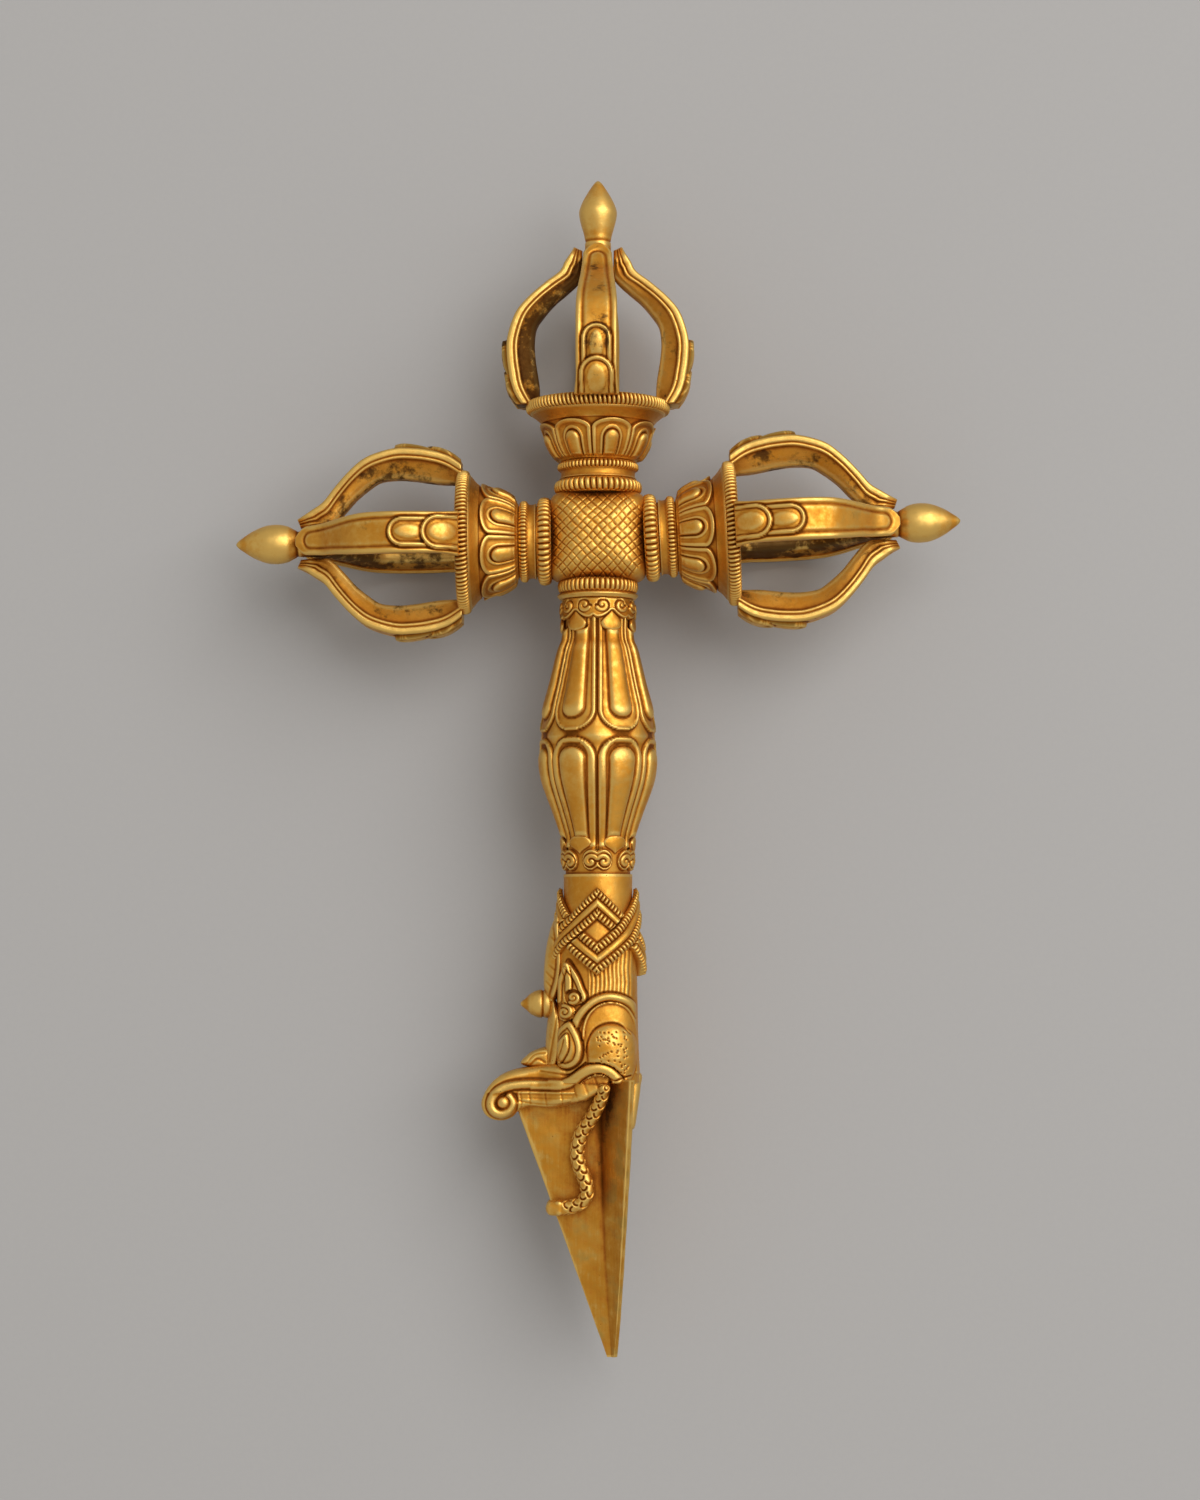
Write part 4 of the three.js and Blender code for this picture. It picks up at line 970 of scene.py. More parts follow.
# How far a row of petals stands out, and mm inside a petal's edge
def petalRow(petal, part, half, up):
    aside = part * half
    tip, notch, (start, end) = petal["tip"], petal["notch"], petal["boss"]
    arch = np.clip((notch - up) / (notch - tip), 0, 1)
    edge = (half - 0.12) * np.sqrt(1 - arch ** 2) - aside
    edge = np.where(up < notch, np.minimum(edge, (up - tip) * 1.3), edge)
    at, wide, high = petal["roll"]
    rise = 0.2 * smooth(edge / 0.25) + high * ridge(edge - at, wide) - 0.14 * line(edge + 0.08, 0.28)
    bossWide = half * mix(*petal["bossHalf"], np.clip((up - start) / (end - start), 0, 1))
    over = np.maximum(0, start + bossWide * 0.95 - up)
    distance = np.hypot(aside, over) / bossWide
    boss = np.sqrt(np.clip(1 - distance ** 2.6, 0, 1))
    boss = boss * smooth((petal["length"] + 0.3 * aside ** 2 - up) / 0.6)
    groove = line((distance - 1.1) * bossWide, 0.3) * smooth((up - tip) / 0.5)
    return rise + (grip["bossRise"] + 0.2) * boss - 0.15 * groove, edge


def makeGrip():
    low, high = span("lotus_grip", handle=True)
    top = span("upper_cloud_collar", handle=True)[1]
    foot = span("lower_cloud_collar", handle=True)[0]
    waist = top + grip["waistFromTop"]
    upper, middle, lower = grip["upper"], grip["waist"], grip["lower"]
    rising = [(mix(upper, middle, share), mix(top, waist, along)) for along, share in
              ((-0.21, -0.02), (0, 0), (0.13, 0.2), (0.45, 0.54), (0.69, 0.82), (0.84, 0.93), (0.95, 0.97))]
    falling = [(mix(middle, lower, share), mix(waist, foot, along)) for along, share in
               ((0.04, 0.03), (0.1, 0.05), (0.24, 0.0), (0.42, 0.1), (0.59, 0.34), (0.76, 0.62), (1, 0.97),
                (1.12, 1.0))]
    outside = smoothLine([*rising, *falling], 0.31)
    piece = spun("lotus_grip_visual", [
        (grip["upperNeck"], low), (grip["upperNeck"], top - 4.7), *outside,
        (grip["lowerNeck"], foot + 2.6), (grip["lowerNeck"], high)], grip["columns"], bore)

    def relief(azimuth, height, radius):
        part = toMiddle(petalTurn(azimuth)) * 2   # 0 in the middle of a petal, 1 on its boundary
        half = radius * petals / 2
        up = np.abs(height - waist)
        above = height < waist
        (upperRise, upperEdge), (lowerRise, lowerEdge) = (petalRow(petal, part, half, up)
                                                          for petal in (upperPetals, lowerPetals))
        rise = np.where(above, upperRise, lowerRise)
        edge = np.where(above, upperEdge, lowerEdge)
        fromLine = (1 - part) * half   # mm from the boundary line
        # the petals' tips curl outwards over the waist
        flare = np.where(above, 0.3, 0.22) * smooth((4.5 - up) / 3.5) * smooth(edge / 0.3)
        diamond = smooth(-edge / 0.5) * smooth((upperPetals["notch"] + 0.4 - up) / 0.8)
        facet = 0.46 - 0.12 * (np.hypot(fromLine, 0.7) + up * 0.9)
        rise += flare + diamond * np.clip(facet, 0, 1)
        return (rise - 0.35) * smooth((height - top + 4.9) / 0.6) * smooth((foot + 3.2 - height) / 0.6)

    carve(piece, relief, 6.6)
    markHollows(piece)
    onHandle(piece, "lotus_grip")


ferrule = dict(top=7.2, bottom=7.1, up=0.4, columns=128)   # it reaches up to the cloud collar


def makeFerrule():
    low, high = span("shaft_ferrule", handle=True)
    low -= ferrule["up"]
    top, bottom = ferrule["top"], ferrule["bottom"]
    wall = smoothLine([(top, low), ((top + bottom) / 2, mix(low, high, 0.3)), (bottom, high)], 0.3)
    piece = spun("shaft_ferrule_visual", wall, ferrule["columns"], bore)
    markHollows(piece, 3)
    onHandle(piece, "shaft_ferrule", 60)


# Knot band: four bands fall to the left and four to the right, each with a beaded edge on both sides of a
# plain ridge. They turn at a point on the front, back and sides, and the left-falling ones cross over.
knot = dict(upper=8.6, lower=10.3, inside=7.4, upperZigzag=5.8, lowerZigzag=6.4, count=4, columns=528,
            rowGap=0.15, lineTop=76.3, lineFall=11.7, halfWidth=2.7, beadAt=1.8, beadHalf=0.9, ridgeHalf=0.75,
            beadPitch=0.92, depth=1.15)


def makeKnot():
    low, high = span("knot_band", handle=True)
    length = high - low
    upper, lower, half, top, fall = (knot[k] for k in ("upper", "lower", "halfWidth", "lineTop", "lineFall"))
    outside = smoothLine([(upper - 0.3, 0), (upper, 0.35), ((upper + lower) / 2, length * 0.4),
                          (lower, length * 0.8), (lower - 0.1, length - 0.4), (lower - 0.4, length)],
                         knot["rowGap"])
    piece = spun("knot_band_visual", outside, knot["columns"], knot["inside"])
    rows = places(piece)
    zigzag = np.abs(toNearest(np.arctan2(rows[:, 0], rows[:, 2]) * knot["count"] / math.tau)) * 2
    rows[:, 1] += low + zigzag * mix(knot["upperZigzag"], -knot["lowerZigzag"], rows[:, 1] / length)
    setPlaces(piece, rows)
    wide = (upper + lower) / 2 * math.tau / knot["count"]
    slope = math.atan2(fall, wide)

    def relief(azimuth, height, radius):
        cell = azimuth * knot["count"] / math.tau
        part = cell - np.floor(cell)
        bands = []
        for share, way in ((part, 1), (1 - part, -1)):   # left-falling, then right-falling
            off = np.abs(height - top - fall * share) * math.cos(slope)
            along = part * wide * math.cos(slope) + way * (height - top) * math.sin(slope)
            bead = ridge(toNearest(along / knot["beadPitch"]), 0.5)
            inBand = smooth((half - off) / 0.2)
            band = 0.2 * inBand + 0.9 * ridge(off - knot["beadAt"], knot["beadHalf"]) ** 0.6 * bead
            bands.append((np.maximum(band, 0.35 + 0.65 * ridge(off, knot["ridgeHalf"])) * inBand, off))
        (over, overOff), (under, _) = bands
        under = under * (1 - smooth((half + 0.35 - overOff) / 0.3))
        return np.maximum(over, under) - knot["depth"]

    carve(piece, relief, knot["inside"] + 0.5)
    markHollows(piece)
    onHandle(piece, "knot_band")


makeGripCollar()
makeCloudCollar(upperCloud)
makeCloudCollar(lowerCloud)
makeGrip()
makeFerrule()
makeKnot()
print("handle is carved")


# Makara head. Its carving is drawn in the dagger's own plane: x towards the snout, then mm from the crossing.

hair = dict(pitch=0.88, depth=0.3, front=1.97, top=85.9, bottom=95.08)
browOuter = [(4.67, 101.75), (3.84, 99.87), (2.39, 98.0), (0.31, 96.43), (-2.18, 95.7), (-4.88, 96.12),
             (-6.95, 97.37), (-8.4, 99.45)]
browInner = [(2.8, 104.25), (2.59, 101.75), (1.56, 99.25), (-0.31, 97.58), (-2.8, 96.95), (-5.29, 97.58),
             (-6.95, 99.25), (-7.99, 102.17), (-8.2, 106.34), (-8.2, 111.34)]
cheekLine = [(2.39, 107.17), (1.97, 104.88), (0.73, 102.58), (-1.35, 101.33), (-3.42, 101.12),
             (-5.08, 101.75), (-6.54, 103.42)]
cheek = dict(centre=(-2.39, 106.13), across=4.7, along=4.9, rise=1.5)
lipBand = [(13.59, 113.95), (10.27, 113.95), (7.16, 113.84), (5.08, 113.01), (3.22, 111.55), (1.35, 110.61),
           (-0.73, 110.4), (-2.59, 111.13), (-4.25, 112.8)]
lipFold = [(11.93, 111.13), (8.61, 111.55), (6.12, 111.86), (4.46, 110.92), (2.39, 109.25)]
mouthCorner = [(-2.18, 112.17), (-3.42, 113.01), (-5.08, 112.38), (-6.74, 111.97)]
eyeOutline = [(5.5, 100.71), (4.05, 102.58), (3.11, 105.08), (3.01, 107.38), (3.84, 109.46), (5.71, 110.61),
              (7.57, 110.3), (8.82, 108.84), (9.34, 106.54), (8.82, 104.25), (7.57, 102.17)]
eyeAlmond = [(5.81, 103.21), (5.29, 105.5), (5.71, 107.59), (7.16, 109.57), (7.88, 107.8), (7.68, 105.5)]
eyeSlit = [(6.12, 104.46), (6.54, 106.54), (7.16, 108.42)]
earOutline = [(6.12, 87.99), (4.88, 89.45), (3.63, 91.53), (2.8, 93.83), (1.97, 95.7), (3.01, 97.16),
              (4.88, 97.16), (6.54, 97.58), (7.78, 98.0), (8.4, 95.91), (8.2, 93.41), (7.16, 90.7)]
earRidges = ([(5.91, 89.03), (4.25, 91.74), (3.22, 94.24), (2.59, 96.33)],
             [(6.12, 89.24), (5.71, 92.16), (5.71, 95.28)], [(6.54, 90.07), (7.57, 92.99), (7.78, 96.54)])
# The curls over the ear and the brow: centre, radius, turns and start in degrees
volutes = (((4.77, 95.91), 1.15, 1.3, 60), ((6.43, 98.93), 1.35, -1.4, -80))
head = dict(depth=9.0, nape=8.6, snout=8.6, squareness=2.7, rowGap=0.185, columns=360, lipDrop=1.2, fine=1440,
            stations=(0, 0.28, 0.5, 0.68, 0.85, 1), napes=(-0.5, -0.4, -0.3, -0.2, 0, 0.2),
            depths=(-1.25, -0.95, -0.55, -0.35, -0.55, -1.15))
# The mouth opens under the lip, with a row of teeth in it that carries on from the trunk's
mouthLine = [(7.78, 116.34), (7.16, 115.3), (4.67, 114.47), (2.59, 113.01), (0.52, 112.07), (-1.35, 112.07),
             (-2.8, 113.01), (-3.84, 115.09)]
mouthDepth = 1.6
cheekTeeth = dict(
    half=7.0, divisions=[(4.46, 115.93), (2.18, 115.09), (-0.1, 114.26)],
    outline=[(6.54, 117.59), (6.54, 113.01), (3.63, 111.34), (-0.52, 110.51), (-3.01, 111.76), (-2.8, 113.84),
             (-1.35, 115.3), (0.73, 116.34), (2.8, 117.39)])
# Punched dots scattered over the cheek
punchMarks = dict(count=60, radius=0.21, across=2.9, along=4.3, seed=11)


def punches(x, s):
    draw = np.random.default_rng(punchMarks["seed"])
    cx, cs = cheek["centre"]
    depth = np.zeros(np.shape(x))
    for side, up in draw.uniform(-1, 1, (punchMarks["count"], 2)):
        px, ps = cx - 0.7 + side * punchMarks["across"] - 0.25 * up, cs + 1.0 + up * punchMarks["along"]
        depth = np.maximum(depth, line(np.hypot(x - px, s - ps), punchMarks["radius"]))
    return depth


# Lays a raised form over what is there, with a groove round its outline
def laidOver(rise, form, inside, depth, offset, width):
    groove = line(np.minimum(inside, 0) + offset, width) * (inside < 0)
    return np.where(inside > 0, form, rise) - depth * groove


# How far the carving of the head stands out from the plain surface, in mm
def headRelief(x, s):
    # hair, combed down to the brow
    inHair = smooth((hair["front"] - x) / 0.4) * smooth((s - hair["top"]) / 0.5)
    inHair = inHair * smooth((hair["bottom"] + 1 - s) / 0.6)
    comb = toNearest(x / hair["pitch"] + 0.08 * np.sin(s * 1.1)) * hair["pitch"]
    rise = inHair * hair["depth"] * (ridge(comb, 0.44) - 0.6)
    # the panel inside the brow lies lower, and the cheek swells out of it towards the nape and the lip
    inner = smoothLine(browInner, 0.4)
    inBrow = depthInside(x, s, np.vstack([inner, [(inner[0, 0], inner[-1, 1])]]))
    rise = np.where(inBrow > 0, -0.5 * smooth(inBrow / 0.5), rise)
    rise += 0.34 * ridge(distanceTo(x, s, inner), 0.4)
    fromOuter = fromPath(x, s, browOuter)
    rise = np.maximum(rise, 0.75 * ridge(fromOuter, 0.85)) - 0.14 * line(fromOuter - 1.0, 0.24)
    cx, cs = cheek["centre"]
    across = np.where(x > cx, cheek["across"], cheek["across"] * 1.35)
    along = np.where(s < cs, cheek["along"], cheek["along"] * 2.1)
    swell = 1 - ((x - cx) / across) ** 2 - ((s - cs) / along) ** 2
    dome = cheek["rise"] * np.sqrt(np.clip(swell, 0, 1)) - 0.26 * punches(x, s)
    rise = np.where(swell > 0, np.maximum(rise, dome - 0.35), rise)
    rise -= 0.2 * line(fromPath(x, s, cheekLine), 0.24)
    # ear and the volutes
    inEar = insideOf(x, s, earOutline, 0.4)
    leaf = 0.5 * smooth(inEar / 0.3)
    for path in earRidges:
        away = fromPath(x, s, path)
        leaf += 0.42 * ridge(away, 0.66) - 0.12 * line(away - 0.7, 0.22)
    rise = laidOver(rise, leaf, inEar, 0.14, 0.1, 0.24)
    for centre, radius, turns, start in volutes:
        near = np.hypot(x - centre[0], s - centre[1]) < radius + 0.55
        curl = distanceTo(x, s, spiral(centre, radius, turns, start, 0.12))
        rise = np.where(near, 0.5 * ridge(curl, 0.44) + 0.3, rise)
    # eye: a drop with a raised border, and an almond with a slit inside it
    inEye, inAlmond = insideOf(x, s, eyeOutline, 0.35), insideOf(x, s, eyeAlmond, 0.3)
    eye = 0.35 + 0.5 * ridge(inEye - 0.62, 0.6) + 0.75 * smooth(inEye / 2.4)
    eye += 0.3 * smooth(inAlmond / 0.35) - 0.2 * line(inAlmond, 0.2)
    eye -= 0.15 * line(fromPath(x, s, eyeSlit), 0.16)
    rise = laidOver(rise, eye * smooth(inEye / 0.22), inEye, 0.18, 0.15, 0.26)
    # the raised lip over the mouth, with a fold above it
    band = fromPath(x, s, lipBand)
    rise = np.where(band < 1.15, 0.95 * ridge(band, 1.1) ** 0.7, rise) - 0.18 * line(band - 1.2, 0.24)
    rise -= 0.3 * line(fromPath(x, s, lipFold), 0.2) + 0.35 * line(fromPath(x, s, mouthCorner), 0.25)
    mouth = smoothLine(mouthLine, 0.4)
    inMouth = s - np.interp(-x, -mouth[:, 0], mouth[:, 1], left=999, right=999)
    return np.where(inMouth > 0, -mouthDepth * smooth(inMouth / 0.3), rise)


# The band that rolls up at the end of the trunk, the boss inside it and the teeth under it
rollBand = [(10.27, 113.95), (14.01, 113.84), (17.12, 114.05), (19.61, 114.68), (21.48, 116.14),
            (22.2, 118.01), (21.48, 119.58), (19.82, 120.1), (18.16, 119.26), (17.64, 117.8), (18.36, 116.55)]
rollBoss = dict(centre=(19.61, 117.7), radius=1.25)
toothRow = dict(top=115.41, middle=116.55, divisions=(15.98, 14.11, 10.79, 7.37, 4.46, 2.18))
teethLine = [(16.91, 117.18), (14.01, 117.8), (10.27, 118.12), (6.54, 117.91), (3.42, 117.18), (1.14, 115.93)]


def trunkRelief(x, s):
    band, lip = fromPath(x, s, rollBand), fromPath(x, s, lipBand)
    rise = -0.25 + 0.95 * ridge(band, 0.95) ** 0.7 - 0.3 * line(band - 1.1, 0.22)
    fromBoss = np.hypot(x - rollBoss["centre"][0], s - rollBoss["centre"][1])
    boss = 0.9 * ridge(fromBoss, rollBoss["radius"] + 0.1) - 0.1
    rise = np.where(fromBoss < rollBoss["radius"] + 0.15, boss, rise)
    rise = np.where((lip < 1.0) & (lip < band), 0.7 * ridge(lip, 1.1) ** 0.7, rise)
    rise -= 0.3 * line(fromPath(x, s, lipFold), 0.2)
    inTeeth = smooth((s - toothRow["top"] + 0.1) / 0.25) * (x < toothRow["divisions"][0] + 0.6)
    down = s - toothRow["middle"]
    teeth = 0.12 - 0.22 * line(fromPath(x, s, teethLine), 0.24) - 0.14 * line(down - 0.2, 0.16)
    for division in toothRow["divisions"]:
        teeth -= 0.2 * line(x - division + down * 0.12, 0.2)
    return np.where((inTeeth > 0.5) & (band >= 1.1), teeth, rise)


def toothRelief(x, s):
    cut = sum(line(x - dx + (s - ds) * 0.35, 0.2) for dx, ds in cheekTeeth["divisions"])
    return -0.16 * cut - 0.1 * line(s - toothRow["middle"] + 0.35 * x - 1.0, 0.16)


def makeHead():
    low, high = span("makara_head", handle=True)
    heights = np.arange(low, high + head["lipDrop"] + 0.01, head["rowGap"])
    shares = (heights - low) / (high - low)
    high += head["lipDrop"]
    napes = head["nape"] + np.interp(shares, head["stations"], head["napes"])
    depths = head["depth"] + np.interp(shares, head["stations"], head["depths"])
    angles = np.linspace(0, math.tau, head["fine"] + 1)
    across, deep = np.cos(angles), np.sin(angles)
    size = 1 / powerSum(across, deep, head["squareness"])
    rings = []
    for height, nape, depth in zip(heights, napes, depths):
        x = (head["snout"] - nape) / 2 + (head["snout"] + nape) / 2 * across * size
        z = depth * deep * size
        place = lengthAlong(np.column_stack([x, z]))
        even = np.linspace(0, place[-1], head["columns"], endpoint=False)
        rings.append(np.column_stack([np.interp(even, place, x), np.full(len(even), height),
                                      np.interp(even, place, z)]))
    piece = cleanMesh(skin("makara_head_visual", rings))
    rows, normals = places(piece), normalsOf(piece)
    rise = headRelief(rows[:, 0], rows[:, 1]) * smooth((np.abs(normals[:, 2]) - 0.15) / 0.5)
    rise = rise * smooth((rows[:, 1] - low) / 0.2) * smooth((high - rows[:, 1]) / 0.1)
    rows += normals * rise[:, None]
    rows[:, 2] += np.sign(rows[:, 2]) * rise * 0.25
    setPlaces(piece, rows)
    markHollows(piece)
    # the row of teeth sets off flush with the trunk's teeth and spreads to the cheeks' width
    teeth = carvedSlab("teeth", cheekTeeth["outline"], cheekTeeth["half"], 1.2, 0.75, toothRelief,
                       thickness=lambda x, s: 1 - 0.3 * smooth((x - 3.2) / 4.5))
    joinTo(piece, teeth)
    onHandle(piece, "makara_head", 60)


def joinTo(piece, other):
    select(piece, other)
    bpy.ops.object.join()


# A carved slab: its outline gets a thickness, becomes an even skin, is rounded at the rim and then carved
def carvedSlab(name, outline, half, rimWidth, rimShare, relief, cell=0.185, thickness=None):
    edge = smoothLine(outline, 0.3, closed=True)
    piece = newPiece(name, [(x, y, -half) for x, y in edge], [], [tuple(range(len(edge)))])
    editMode(piece)
    bpy.ops.mesh.extrude_region_move(TRANSFORM_OT_translate={"value": (0, 0, 2 * half * mm)})
    bpy.ops.mesh.select_all(action="SELECT")
    bpy.ops.mesh.normals_make_consistent(inside=False)
    objectMode()
    piece.data.remesh_voxel_size = cell * mm
    bpy.ops.object.voxel_remesh()
    rows = places(piece)
    x, y, z = rows.T
    deep = np.clip(depthInside(x, y, edge), 0, None)
    rimmed = rimShare + (1 - rimShare) * ridge(1 - np.clip(deep / rimWidth, 0, 1), 1)
    wide = thickness(x, y) if thickness else 1
    onFace = smooth((np.abs(z) / half - 0.7) / 0.25)
    rows[:, 2] = z * rimmed * wide + np.sign(z) * relief(x, y) * onFace * smooth(deep / 0.4)
    setPlaces(piece, rows)
    editMode(piece)
    bpy.ops.mesh.vertices_smooth(factor=0.5, repeat=2)
    objectMode()
    markHollows(piece)
    return piece


trunk = dict(
    half=4.2, rimWidth=1.6, rimShare=0.55,
    outline=[(4.88, 118.01), (2.59, 116.76), (2.59, 110.09), (4.88, 110.09), (7.78, 109.67), (10.89, 109.88),
             (14.01, 110.3), (17.33, 110.92), (20.02, 111.97), (22.1, 113.63), (23.55, 115.72),
             (24.28, 118.01), (23.55, 120.1), (21.89, 121.24), (19.61, 121.45), (17.74, 120.72),
             (16.5, 119.47), (14.01, 118.64), (9.86, 118.85)])
# A leaf stands up from the trunk's root
trunkLeaf = dict(
    half=2.9, rimWidth=1.6, rimShare=0.35,
    outline=[(16.08, 109.67), (14.63, 107.8), (12.76, 106.75), (10.89, 106.23), (9.65, 106.75),
             (9.44, 108.84), (9.65, 110.71), (12.97, 110.71)],
    veins=((0.3, [(14.01, 109.88), (12.55, 108.63), (10.89, 109.46)]),
           (0.25, [(14.84, 109.67), (13.18, 107.8), (10.89, 107.38)])))


def leafRelief(x, s):
    return -sum(depth * line(fromPath(x, s, path, 0.3), 0.25) for depth, path in trunkLeaf["veins"])


def makeTrunk():
    def thickness(x, s):
        return 1 + 0.55 * smooth((12.5 - x) / 5) - 0.12 * smooth((s - toothRow["top"]) / 0.6)
    piece = carvedSlab("makara_trunk_visual", trunk["outline"], trunk["half"], trunk["rimWidth"],
                       trunk["rimShare"], trunkRelief, 0.175, thickness)
    leaf = carvedSlab("leaf", trunkLeaf["outline"], trunkLeaf["half"], trunkLeaf["rimWidth"],
                      trunkLeaf["rimShare"], leafRelief)
    joinTo(piece, leaf)
    onHandle(piece, "makara_trunk")


# Crest: a horn-shaped strip over a narrower one, both with slanting cuts along their outer edge
crestUpper = [(8.4, 78.4), (9.23, 79.86), (10.06, 82.15), (10.79, 85.49), (11.21, 89.24), (11.31, 92.99),
              (10.89, 95.7), (10.06, 97.16), (8.82, 96.54), (7.57, 93.83), (6.95, 90.07), (6.95, 85.9),
              (7.37, 82.57), (7.57, 79.86)]
crestLower = [(9.23, 96.12), (10.06, 98.0), (10.58, 101.33), (10.89, 105.08), (11.0, 109.25), (10.69, 110.51),
              (8.61, 110.51), (7.37, 106.75), (7.16, 102.58), (7.78, 99.25)]
crestBead = [(8.4, 80.9), (7.99, 84.23), (7.78, 88.4), (8.2, 92.16), (9.23, 95.49)]
crestGroove = [(8.82, 97.16), (8.61, 100.91), (9.44, 105.71), (10.06, 109.25)]
upperCuts = dict(pitch=2.05, slant=0.9, depth=0.4, width=0.17)
lowerCuts = dict(pitch=0.95, slant=1.6, depth=0.28, width=0.16, end=105.08)


def crestCut(x, s, cuts):
    return cuts["depth"] * line(toNearest(s + cuts["slant"] * (x - 9), cuts["pitch"]), cuts["width"])


def makeCrest():
    def upperRelief(x, s):
        away = fromPath(x, s, crestBead)
        beadX, beadS = np.array(crestBead).T
        outerSide = smooth((x - np.interp(s, beadS, beadX) - 0.7) / 0.4)
        patchy = smooth((np.sin(s * 0.62 + 1.1) + 0.35) / 0.4)
        cut = crestCut(x, s, upperCuts) * outerSide * patchy
        return 0.6 * ridge(away, 0.7) - 0.25 * line(away - 0.85, 0.24) - cut

    def lowerRelief(x, s):
        cut = crestCut(x, s, lowerCuts) * smooth((x - 9.3) / 0.4) * smooth(lowerCuts["end"] - s)
        return -cut - 0.3 * line(fromPath(x, s, crestGroove), 0.22)

    def thickness(x, s):
        return 1 + 0.55 * smooth((11 - x) / 3.2)

    piece = carvedSlab("makara_forehead_crest_visual", crestUpper, 3.0, 1.5, 0.4, upperRelief,
                       thickness=thickness)
    joinTo(piece, carvedSlab("lower_crest", crestLower, 3.2, 1.4, 0.4, lowerRelief, thickness=thickness))
    onHandle(piece, "makara_forehead_crest")


# The jewel nub stands out from the crest. Its profile: share of its length, and of its radius
nub = dict(height=97.27, base=9.4, radius=2.9, tip=16.2, columns=64,
           profile=((0, 0.8), (0.1, 1), (0.24, 1.02), (0.3, 0.93), (0.36, 1.01), (0.5, 0.96), (0.68, 0.75),
                    (0.82, 0.45), (0.95, 0.2)))


def makeNub():
    base, tip = nub["base"], nub["tip"]
    profile = [(nub["radius"] * wide, mix(base, tip, along)) for along, wide in nub["profile"]]
    outside = smoothLine([*profile, (0.3, tip - 0.06)], 0.2)
    piece = spun("makara_jewel_nub_visual", [(0, base), *outside, (0, tip)], nub["columns"])
    piece.data.transform(Matrix.Translation(Vector((0, nub["height"], 0)) * mm)
                         @ Matrix.Rotation(math.radians(-90), 4, "Z"))
    markHollows(piece)
    onHandle(piece, "makara_jewel_nub", 60)


jawOutline = [(-8.92, 111.76), (-8.88, 114.68), (-8.53, 117.59), (-8.11, 120.51), (-7.7, 122.81),
              (-6.95, 123.43), (-5.91, 122.6), (-5.29, 119.68), (-4.88, 116.14), (-4.88, 111.76)]


def makeJaw():
    piece = carvedSlab("makara_lower_jaw_visual", jawOutline, 3.0, 1.4, 0.45, lambda x, s: 0)
    onHandle(piece, "makara_lower_jaw")


# Blade: three fins with hollow faces between them, leaning away from the snout towards the tip
blade = dict(snoutFin=19.0, rearFin=11.8, tipFin=1.2, finEdge=1.5, tipEdge=1.0, finSwell=0.45, rootHollow=2.2,
             hollowSwell=0.95, tipHollow=0.7, rootLean=1.5, tipLean=3.1, gum=5.0, rowGap=0.5, waviness=0.02,
             edgeTurn=0.55, steps=(26, 9, 26, 22, 22), gap=0.3)
bladeRoot = span("makara_head", handle=True)[1] + blade["gap"]
bladeTip = dagger["bladeReach"]
# Painted shade lies beside the serpent's start under the head, and along the valley's crease: a path, how
# strong and how wide
shadePaths = (
    ([(-2.39, 116.34), (-1.97, 121.76), (-0.73, 127.6), (0.1, 132.19)], 0.85, 1.9),
    ([(0.1, 129.69), (0.52, 141.16), (-0.52, 154.71), (-1.97, 167.22), (-4.05, 173.47)], 0.5, 0.7))


def direction(degrees):
    return np.array([math.cos(math.radians(degrees)), math.sin(math.radians(degrees))])


# The blade's section at a height: rows of x, z
def bladeSection(height):
    share = (height - bladeRoot) / (bladeTip - bladeRoot)
    lean = mix(blade["rootLean"], blade["tipLean"], share)
    edge = mix(blade["finEdge"], blade["tipEdge"], share) / 2
    turned = blade["edgeTurn"] * edge
    rear = blade["tipFin"] + (blade["rearFin"] - blade["tipFin"]) * (1 - share) ** 0.85
    hollow = mix(blade["rootHollow"], blade["tipHollow"], share)
    hollow += blade["hollowSwell"] * math.sin(math.pi * share)
    gum = bladeRoot + blade["gum"]
    snout = mix(blade["snoutFin"], blade["tipFin"], max(0, height - gum) / (bladeTip - gum))
    corners = []
    # the rear fins' edges are each cut back on one side
    for turn, reach, before, after in ((0, snout, 0, 0), (120, rear, 0, turned), (240, rear, turned, 0)):
        along, across = direction(turn), direction(turn + 90)
        flank = max(reach * 0.5, hollow * 0.9)
        half = edge + blade["finSwell"] * min(1, reach / (4 * hollow))
        corners += [along * flank - across * half, along * (reach - before) - across * edge,
                    along * (reach - after) + across * edge, along * flank + across * half,
                    direction(turn + 60) * hollow]
    # the snout's fin runs flat from its edge to the valleys, and the two others rise straight out of them
    for flank, tip, valley, down in ((3, 2, 4, 0.5), (0, 1, 14, 0.5), (5, 6, 4, 0.45), (13, 12, 14, 0.45)):
        corners[flank] = mix(corners[flank], mix(corners[tip], corners[valley], down), 0.85)
    ring = np.vstack([np.linspace(a, b, count, endpoint=False)
                      for a, b, count in zip(corners, corners[1:] + corners[:1], blade["steps"] * 3)])
    for _ in range(2):
        ring = ring * 0.5 + (np.roll(ring, 1, axis=0) + np.roll(ring, -1, axis=0)) * 0.25
    return ring - [lean, 0]


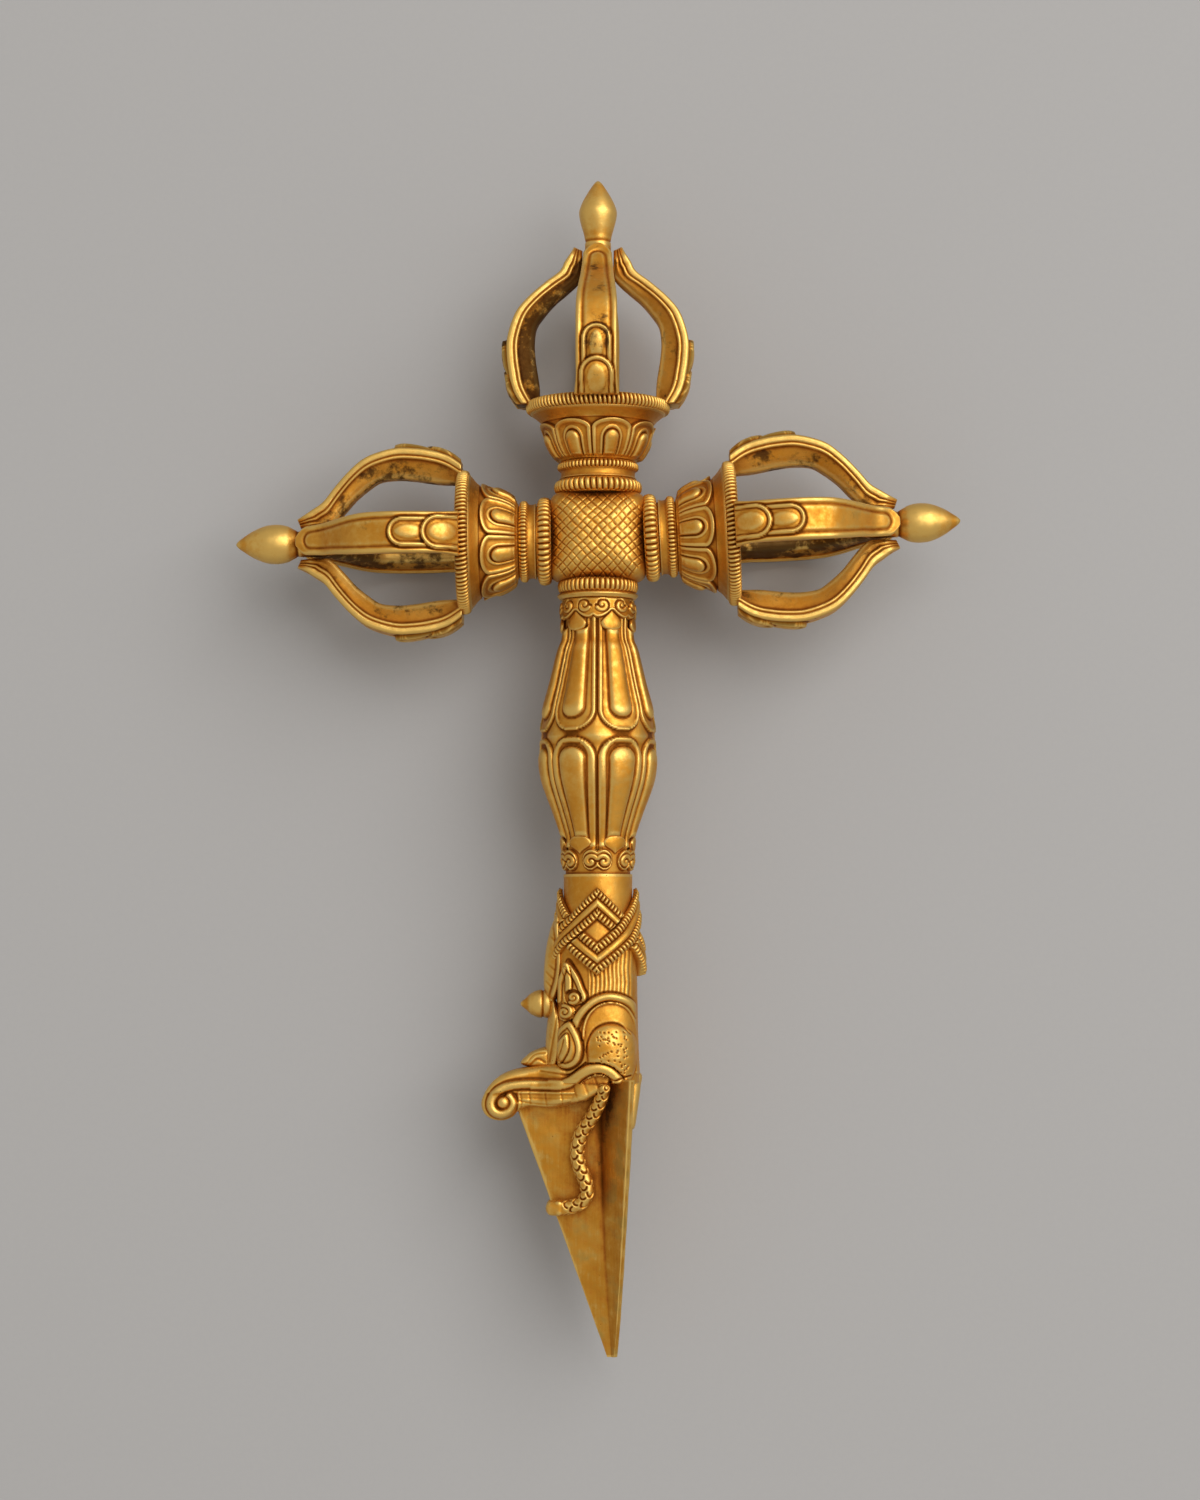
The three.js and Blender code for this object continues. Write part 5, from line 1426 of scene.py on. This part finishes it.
def makeBlade():
    heights = np.linspace(bladeRoot, bladeTip - 0.02, round((bladeTip - bladeRoot) / blade["rowGap"]))
    rings = [np.insert(bladeSection(height), 1, height, axis=1) for height in heights]
    piece = cleanMesh(skin("blade_visual", rings))
    rows = places(piece)
    x, y, z = rows.T
    wave = np.sin(y * 0.55 + z * 0.3) + 0.7 * np.sin(y * 1.3 + x * 0.8 + 1) + 0.5 * np.sin(y * 0.23 - x * 0.5)
    rows += normalsOf(piece) * (blade["waviness"] * (wave - 2.2) * smooth((bladeTip - y) / 4))[:, None]
    setPlaces(piece, rows)
    markHollows(piece, 30, 0.13)
    # darker over the last 9 mm towards the tip, with painted shade along each path: under the head beside the
    # serpent, and in the valley's crease
    darkening = 0.3 * smooth((y - bladeTip + 9) / 9)
    for path, strength, width in shadePaths:
        darkening = np.maximum(darkening, strength * line(fromPath(x, y, path, 0.5), width))
    mark(piece, "wear_and_shade", darkening)
    onHandle(piece, "blade", 50, bladeGilt)


# Serpents: one on each face of the blade, out of the mouth's corner, down the valley and over the fin's edge
serpent = dict(radius=1.5, rowGap=0.125, columns=68, scaleAcross=3.3, scaleAlong=2.25, scaleRadius=0.85,
               scaleGroove=0.5, headLength=4.6)
# Rows: x, mm below the head's lower end, lift off the blade, thickness share
serpentRoute = [
    (-1.7, 1.2, 2.6, 0.8), (-0.7, 4.4, 2.0, 0.95), (1.2, 8.2, 1.0, 1), (3.3, 11.4, 0.5, 1.02),
    (4.2, 15.0, 0.3, 1.04), (3.8, 18.1, 0.3, 1.04), (2.6, 21.2, 0.3, 1.02), (2.2, 23.8, 0.3, 1.0),
    (3.3, 25.8, 0.3, 0.98), (5.8, 26.8, 0.3, 1.02), (8.4, 27.0, 0.4, 1.12), (10.8, 27.0, 0.8, 1.0)]


def bladeDepth(x, height):   # how far the blade stands out to the front at x
    ring = bladeSection(height)
    best = 0
    for a, b in zip(ring, np.roll(ring, -1, axis=0)):
        if a[0] != b[0] and 0 <= (x - a[0]) / (b[0] - a[0]) <= 1:
            best = max(best, mix(a[1], b[1], (x - a[0]) / (b[0] - a[0])))
    return best


def scales(around, along):   # rows of round-ended scales, each row half a scale aside of the last one
    depth = 0
    for shift in (0, 0.5):
        aside = toNearest(around / serpent["scaleAcross"] + 0.25 + shift) * serpent["scaleAcross"]
        behind = toNearest(along / serpent["scaleAlong"] + shift) * serpent["scaleAlong"]
        fromEnd = np.hypot(aside, behind) - serpent["scaleRadius"]
        depth = np.maximum(depth, line(fromEnd, 0.27) * smooth((behind + 0.1) / 0.4))
    return depth


def makeSerpent(face, node):
    high = span("makara_head", handle=True)[1]
    spine = [(x, high + drop, bladeDepth(x, high + drop) + serpent["radius"] * 0.92 + lift, thick)
             for x, drop, lift, thick in serpentRoute]
    fine = smoothLine(spine, serpent["rowGap"])
    centre = fine[:, :3]
    along = lengthAlong(centre)
    forward = np.gradient(centre, axis=0)
    forward /= np.linalg.norm(forward, axis=1)[:, None]
    up = np.array([0, 0, 1.0]) - forward * forward[:, 2:3]
    up /= np.linalg.norm(up, axis=1)[:, None]
    aside = np.cross(forward, up)
    angles = np.linspace(-math.pi, math.pi, serpent["columns"], endpoint=False)
    turned = np.abs(angles)
    rings = []
    for i, radius in enumerate(fine[:, 3] * serpent["radius"]):
        toEnd = along[-1] - along[i]
        inHead = smooth((serpent["headLength"] - toEnd) / 1.5)
        # both ends are rounded
        close = math.sqrt(max(0.02, 1 - max(0, 1 - toEnd / 1.1) ** 2))
        close *= math.sqrt(max(0.05, 1 - max(0, 1 - along[i] / 0.8) ** 2))
        scale = serpent["scaleGroove"] * scales(angles * serpent["radius"], along[i])
        scale = scale * smooth((1.75 - turned) / 0.5)
        mouth = 0.4 * line((turned - 1.45) * serpent["radius"], 0.22) * smooth((2.6 - toEnd) / 0.6)
        brow = 0.34 * math.exp(-((toEnd - 2.9) / 0.6) ** 2) * np.exp(-((turned - 0.7) / 0.34) ** 2)
        reach = close * (radius - scale * (1 - inHead) + (brow - mouth) * inHead)
        across, out = reach * np.sin(angles), reach * np.cos(angles) * (1 - 0.16 * inHead)
        rings.append((centre[i] + aside[i] * across[:, None] + up[i] * out[:, None]) * (1, 1, face))
    piece = cleanMesh(skin(f"{node}_visual", rings))
    markHollows(piece)
    onHandle(piece, node)


makeHead()
makeTrunk()
makeCrest()
makeNub()
makeJaw()
makeBlade()
makeSerpent(1, "serpent_front")
makeSerpent(-1, "serpent_back")
print("makara, blade and serpents are in place")

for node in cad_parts.values():
    if not node.hide_render:
        node.data.materials.clear()
        node.data.materials.append(gilt)
